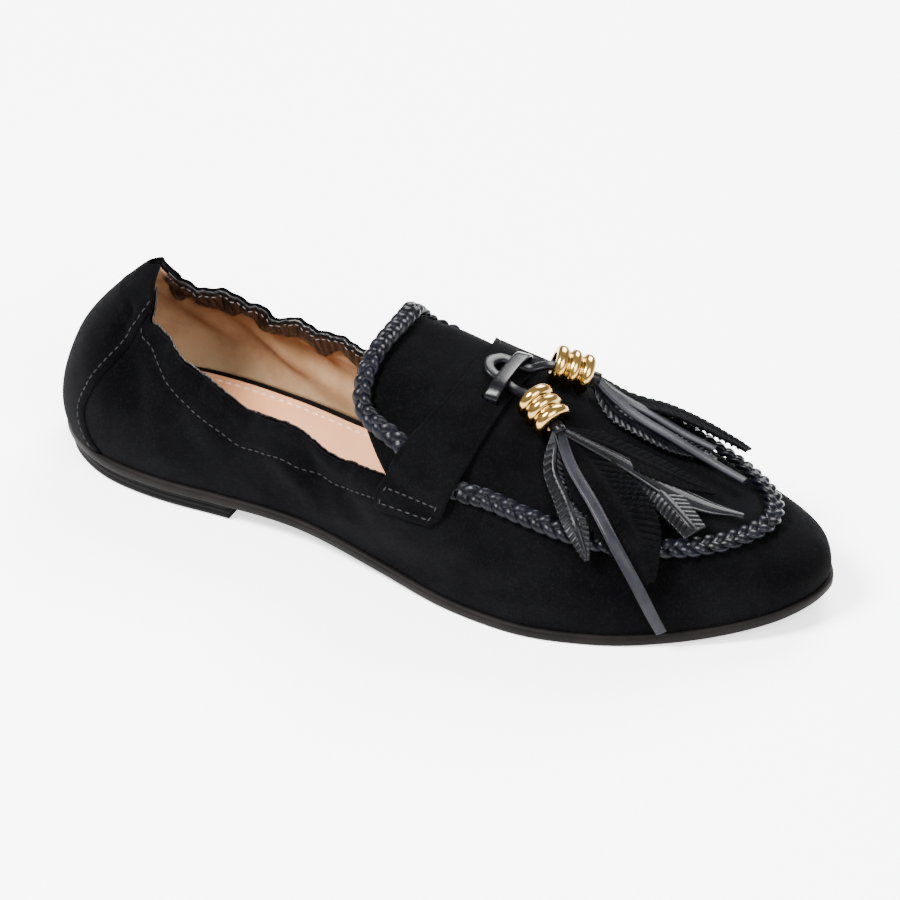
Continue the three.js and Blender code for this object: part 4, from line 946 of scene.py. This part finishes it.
# Look, width, then rows of station, climb, lift, left, right.
TASSELS = {
    -1: [
        ("strip", 0.17, [(0.677, 0.825, 0.75, 0.5, 0.5), (0.716, 0.738, 0.75, 0.5, 0.5),
            (0.759, 0.6, 1, 0.5, 0.5), (0.794, 0.45, 1.35, 0.5, 0.5),
            (0.827, 0.275, 1.05, 0.5, 0.5), (0.845, 0.125, 0.6, 0.5, 0.5),
            (0.854, 0.04, 0.5, 0.45, 0.45)]),
        ("glossy", 0.4, [(0.677, 0.812, 0.5, 0.2, 0.2), (0.7, 0.712, 0.3, 0.4, 0.4),
            (0.727, 0.6, 0.5, 0.5, 0.5), (0.748, 0.488, 0.88, 0.46, 0.46),
            (0.769, 0.362, 0.72, 0.06, 0.1)]),
        ("suede", 1, [(0.683, 0.875, 0.6, 0.1, 0.1), (0.722, 0.812, 0.55, 0.32, 0.36),
            (0.764, 0.7, 0.72, 0.46, 0.5), (0.804, 0.562, 1.02, 0.5, 0.5),
            (0.827, 0.425, 1.08, 0.36, 0.4), (0.841, 0.3, 0.65, 0.06, 0.12)]),
        ("glossy", 0.5, [(0.694, 0.912, 0.45, 0.12, 0.12), (0.759, 0.9, 0.25, 0.3, 0.3),
            (0.827, 0.85, 0.25, 0.45, 0.45), (0.874, 0.712, 0.6, 0.5, 0.5),
            (0.897, 0.575, 0.88, 0.36, 0.4)]),
        ("tongue", 0.27, [(0.7, 0.925, 0.6, 0.2, 0.2), (0.789, 0.875, 0.42, 0.35, 0.35),
            (0.878, 0.825, 0.42, 0.5, 0.5), (0.946, 0.762, 0.45, 0.5, 0.5),
            (0.981, 0.675, 0.65, 0.1, 0.1)]),
        ("suede", 0.45, [(0.689, 0.925, 0.62, 0.15, 0.15), (0.743, 0.912, 0.45, 0.42, 0.42),
            (0.808, 0.925, 0.45, 0.5, 0.5), (0.918, 0.912, 0.45, 0.42, 0.42),
            (0.985, 0.85, 0.45, 0.06, 0.06)]),
    ],
    1: [
        ("strip", 0.2, [(0.69, 0.81, 0.75, 0.5, 0.5), (0.72, 0.8, 0.6, 0.5, 0.5),
            (0.76, 0.79, 0.6, 0.5, 0.5), (0.81, 0.77, 0.55, 0.5, 0.5),
            (0.86, 0.73, 0.6, 0.4, 0.4)]),
        ("glossy", 0.45, [(0.69, 0.85, 0.5, 0.2, 0.2), (0.72, 0.9, 0.35, 0.45, 0.45),
            (0.77, 0.9, 0.32, 0.5, 0.5), (0.82, 0.86, 0.32, 0.5, 0.5),
            (0.885, 0.77, 0.38, 0.08, 0.08)]),
        ("suede", 0.6, [(0.69, 0.8, 0.5, 0.2, 0.2), (0.72, 0.71, 0.5, 0.4, 0.4),
            (0.76, 0.66, 0.82, 0.5, 0.5), (0.8, 0.62, 0.95, 0.5, 0.5),
            (0.84, 0.58, 0.98, 0.46, 0.46), (0.875, 0.54, 0.98, 0.25, 0.3)]),
        ("strip", 0.18, [(0.683, 0.9, 0.8, 0.5, 0.5), (0.738, 0.89, 0.7, 0.5, 0.5),
            (0.808, 0.885, 0.66, 0.5, 0.5), (0.901, 0.838, 0.5, 0.5, 0.5),
            (0.965, 0.75, 0.5, 0.4, 0.4)]),
    ],
}
dull_look = suede_look((0.0004, 0.0004, 0.0005), (0.0024, 0.0024, 0.0030))
leaf_suede = new_material("leaf_suede", dull_look)
leaf_look = glossy_look((0.0007, 0.0007, 0.0011), (0.0036, 0.0036, 0.0052), 0.34, 0.03)
leaf_leather = new_material("leaf_leather", leaf_look)
strip_look = glossy_look((0.0048, 0.0051, 0.0070), (0.0105, 0.0110, 0.0145), 0.42, 0.01)
strip_leather = new_material("strip_leather", strip_look)
LEAF_LOOKS = {"suede": leaf_suede, "glossy": leaf_leather, "tongue": leaf_leather, "strip": strip_leather}


def leaf_surface(side, kind, width, rows):
    """A leaf along its rows: slashed into barbs with a groove between them, or a plain strip."""
    stations, climbs, lifts, lefts, rights = np.array(rows, float).T
    points, ups = on_last(stations, side, climbs, lifts * BEAD_RADIUS)
    centre, way, _, top = bead_frame(side)
    points[0] = centre + way * (BEAD_LENGTH / 2 + TASSEL_NECK / 2) - top * LEAF_THICKNESS / 2
    ups[0] = top
    steps = 260
    spine, _, sideways, up, length = route(points, ups, steps)
    at = np.linspace(0, 1, steps + 1)
    table = [(k / (len(rows) - 1), lefts[k], rights[k]) for k in range(len(rows))]
    left, right = (curve(table, column, at) * width * LEAF_WIDTH for column in (1, 2))
    across_share = np.linspace(-1, 1, 25)
    reach = np.where(across_share < 0, left[:, None] * across_share, right[:, None] * across_share)
    raised = -0.1 * np.abs(reach)
    if kind in BARB:
        travel = ((at * length)[:, None] - np.abs(reach) * 0.62) / BARB[kind]
        phase = travel - np.floor(travel)
        body = smooth(0.07, 0.2, at)[:, None] * (1 - smooth(0.93, 1.0, at))[:, None]
        cut = smooth(0.86, 0.97, phase) + 1 - smooth(0.0, 0.06, phase)
        outer = smooth(0.12, 0.45, np.abs(across_share))
        raised = raised - 0.0006 * cut * outer * body
        raised = raised + 0.00022 * np.sin(np.pi * np.clip(phase, 0, 1)) * outer * body
        raised = raised + 0.0004 * np.exp(-(across_share / 0.12) ** 2) * body
        reach = reach * (1 + 0.10 * (phase - 0.55) * np.abs(across_share) ** 6 * body)
    else:
        raised = raised - 0.00018 * np.exp(-((np.abs(across_share) - 0.72) / 0.1) ** 2)
    places = spine[:, None] - sideways[:, None] * reach[..., None] + up[:, None] * raised[..., None]
    return thicken(*grid(places), 0.0, LEAF_THICKNESS * 0.9)


for side, node in ((-1, "tassel_lateral"), (1, "tassel_medial")):
    for number, (kind, width, rows) in enumerate(TASSELS[side]):
        points, faces = leaf_surface(side, kind, width, rows)
        add_mesh(f"{node}_{kind}_{number + 1}", points, faces, LEAF_LOOKS[kind], node)
    centre, way, sideways, top = bead_frame(side)
    stem = centre + way * np.linspace(0.0006, BEAD_LENGTH / 2 + TASSEL_NECK, 12)[:, None]
    axes = (np.tile(axis, (12, 1)) for axis in (sideways, top))
    add_mesh(node + "_stem", *tube(stem, *axes, STEM, STEM, 16), leaf_leather, node)

# Stitches: short thread beads laid end to end along seams; one node group places them on a
# guide line by its pitch, length and thickness.
def stitch_group(material):
    tree = bpy.data.node_groups.new("stitch_row", "GeometryNodeTree")
    face = tree.interface
    face.new_socket(name="Guide", in_out="INPUT", socket_type="NodeSocketGeometry")
    for name, value in (("Pitch", 0.0026), ("Length", 0.0019), ("Thickness", 0.0005)):
        face.new_socket(name=name, in_out="INPUT", socket_type="NodeSocketFloat").default_value = value
    face.new_socket(name="Stitches", in_out="OUTPUT", socket_type="NodeSocketGeometry")
    graph = Graph(tree)
    given = graph.node("NodeGroupInput", output=None)
    guide, pitch, long, thick = (Socket(graph, given.outputs[k]) for k in range(4))
    line = graph.node("GeometryNodeMeshToCurve", {}, {"Mesh": guide})
    spacing = {"Curve": line, "Length": pitch}
    spots = graph.node("GeometryNodeCurveToPoints", {"mode": "LENGTH"}, spacing, None)
    ball = graph.node("GeometryNodeMeshUVSphere", {}, {"Segments": 8, "Rings": 6, "Radius": 0.5})
    size = graph.node("ShaderNodeCombineXYZ", {}, {0: thick, 1: thick, 2: long})
    shaped = graph.node("GeometryNodeTransform", {}, {"Geometry": ball, "Scale": size})
    ends, tangent = (Socket(graph, spots.outputs[name]) for name in ("Points", "Tangent"))
    turn = graph.node("FunctionNodeAlignRotationToVector", {"axis": "Z"}, {"Vector": tangent})
    copies = {"Points": ends, "Instance": shaped, "Rotation": turn}
    placed = graph.node("GeometryNodeInstanceOnPoints", {}, copies)
    real = graph.node("GeometryNodeRealizeInstances", {}, {"Geometry": placed})
    done = graph.node("GeometryNodeSetMaterial", {}, {"Geometry": real, "Material": material})
    out = graph.tree.nodes.new("NodeGroupOutput")
    graph.tree.links.new(done.output, out.inputs[0])
    return tree


def add_stitches(name, lines, group, pitch=0.0026, length=0.0019, thickness=0.0005):
    """Stitches along lines of points of the last, turned into a plain mesh."""
    points, edges = [], []
    for line in lines:
        start = len(points)
        points += (np.asarray(line) - (ORIGIN * LENGTH, 0, 0)).tolist()
        edges += [(start + k, start + k + 1) for k in range(len(line) - 1)]
    mesh = bpy.data.meshes.new(name + "_guide")
    mesh.from_pydata(points, edges, [])
    guide = bpy.data.objects.new(name + "_guide", mesh)
    bpy.context.collection.objects.link(guide)
    stage = guide.modifiers.new("stitches", "NODES")
    stage.node_group = group
    sockets = {item.name: item.identifier for item in group.interface.items_tree if item.in_out == "INPUT"}
    for key, value in (("Pitch", pitch), ("Length", length), ("Thickness", thickness)):
        stage[sockets[key]] = value
    bpy.context.view_layer.update()
    evaluated = guide.evaluated_get(bpy.context.evaluated_depsgraph_get())
    baked = bpy.data.meshes.new_from_object(evaluated)
    baked.name = name
    bpy.data.objects.remove(guide)
    baked.polygons.foreach_set("use_smooth", [True] * len(baked.polygons))
    piece = bpy.data.objects.new(name, baked)
    bpy.context.collection.objects.link(piece)
    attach(piece, "root")


def thread_look(low, high):
    def build(graph):
        shade = graph.noise(500.0, 2.0, 0.5)
        return {"Base Color": graph.mix(shade, low, high), "Roughness": 0.6, "Specular IOR Level": 0.15}
    return build


black_look = thread_look((0.0030, 0.0029, 0.0037), (0.0105, 0.0100, 0.0125))
black_thread = new_material("black_thread", black_look)
tan_thread = new_material("tan_thread", thread_look((0.46, 0.30, 0.22), (0.66, 0.47, 0.37)))
pale_thread = new_material("pale_thread", thread_look((0.05, 0.045, 0.045), (0.12, 0.11, 0.11)))
black_stitches, tan_stitches, pale_stitches = map(stitch_group, (black_thread, tan_thread, pale_thread))

# Collar and counter seams: black stitches on the suede under the topline, from the counter to
# the strap, and along the counter's front edge.
COLLAR_SEAM_LIFT, COUNTER_SEAM_LIFT, COUNTER_SEAM_PLACE = 0.00012, COUNTER_LIFT + 0.00098, 0.93


def seam_under_rim(side, start, end):
    """A line on the upper's real surface, with its gathers and creases."""
    along = np.linspace(start, end, 400)
    climb = climb_to(angle_at(along), side, rim_height(along, side) - curve(COLLAR_SEAM, 1, along))
    points, out = on_last(along, side, climb)
    return points + out * (relief(points, side) + COLLAR_SEAM_LIFT)[..., None]


collar_lines = [seam_under_rim(side, 0.1, 0.5) for side in (-1, 1)]
up_share = np.linspace(0.03, 0.97, 200)
across_share = np.full(200, COUNTER_SEAM_PLACE)
counter_lines = [counter_points(side, across_share, up_share, COUNTER_SEAM_LIFT) for side in (-1, 1)]
add_stitches("collar_stitches", collar_lines, black_stitches, 0.0024, 0.0017, 0.00042)
add_stitches("counter_stitches", counter_lines, black_stitches, 0.0024, 0.0018, 0.00045)

# Binding: pale stitches just under its upper edge, on the inside.
binding_lines = []
for side in (-1, 1):
    points, _ = binding_surface(side)
    rows = points.reshape(BINDING_ROWS, BINDING_STEPS, 3)
    inward = normals(*grid(rows, turned=side > 0)).reshape(rows.shape)
    binding_lines.append(rows[10] - inward[10] * (RIBBON + 0.00002))
add_stitches("binding_stitches", binding_lines, pale_stitches, 0.0022, 0.0015, 0.00035)

# Strap ends: a stitched box on each side holds the strap to the upper.
STRAP_BOX = [(0.11, 0.035), (0.89, 0.035), (0.89, 0.115), (0.11, 0.115), (0.11, 0.035)]
strap_lines = []
for side in (-1, 1):
    for (u0, s0), (u1, s1) in zip(STRAP_BOX, STRAP_BOX[1:]):
        t = np.linspace(0.09, 0.91, 40)
        line, out = strap_place(side, u0 + (u1 - u0) * t, s0 + (s1 - s0) * t)
        strap_lines.append(line + out * (STRAP_THICKNESS + 0.00005))
add_stitches("strap_stitches", strap_lines, black_stitches, 0.0024, 0.0018, 0.0005)

# Sock border: tan stitches a little inside the sock's edge.
BORDER_INSET = 0.0032
border = plan_ring(SOCK_MARGIN - BORDER_INSET, 200)
border = np.concatenate([border, border[:1]])
border = np.concatenate([border, (sock_top(border[:, 0]) + 0.00005)[:, None]], 1)
add_stitches("sock_stitches", [border], tan_stitches, 0.0032, 0.0023, 0.0007)

# Floor and light: a plain pale sweep with soft, broad light from above and the sides.
def floor_look(graph):
    return {"Base Color": (0.95, 0.95, 0.95, 1), "Roughness": 0.8, "Emission Color": (1, 1, 1, 1),
            "Emission Strength": 1.3}


floor_mesh = bpy.data.meshes.new("floor")
floor_mesh.from_pydata([(-6, -6, 0), (6, -6, 0), (6, 6, 0), (-6, 6, 0)], [], [(0, 1, 2, 3)])
floor_mesh.materials.append(new_material("pale_floor", floor_look))
floor = bpy.data.objects.new("floor", floor_mesh)
bpy.context.collection.objects.link(floor)
world = bpy.data.worlds.new("studio")
world.use_nodes = True
world.node_tree.nodes["Background"].inputs["Color"].default_value = (1, 1, 1, 1)
world.node_tree.nodes["Background"].inputs["Strength"].default_value = 0.65
bpy.context.scene.world = world
lamps = [("key", (-0.5, -0.7, 1.3), 0.55, 115.0), ("fill", (1.0, -0.6, 0.9), 0.9, 40.0),
         ("rim", (0.0, 1.1, 1.0), 0.8, 65.0)]
for name, spot, size, power in lamps:
    light = bpy.data.lights.new(name, "AREA")
    light.size, light.energy = size, power
    lamp = bpy.data.objects.new(name, light)
    lamp.location = spot
    lamp.rotation_euler = (Vector(spot) - Vector((0.09, 0, 0.03))).to_track_quat("Z", "Y").to_euler()
    bpy.context.collection.objects.link(lamp)
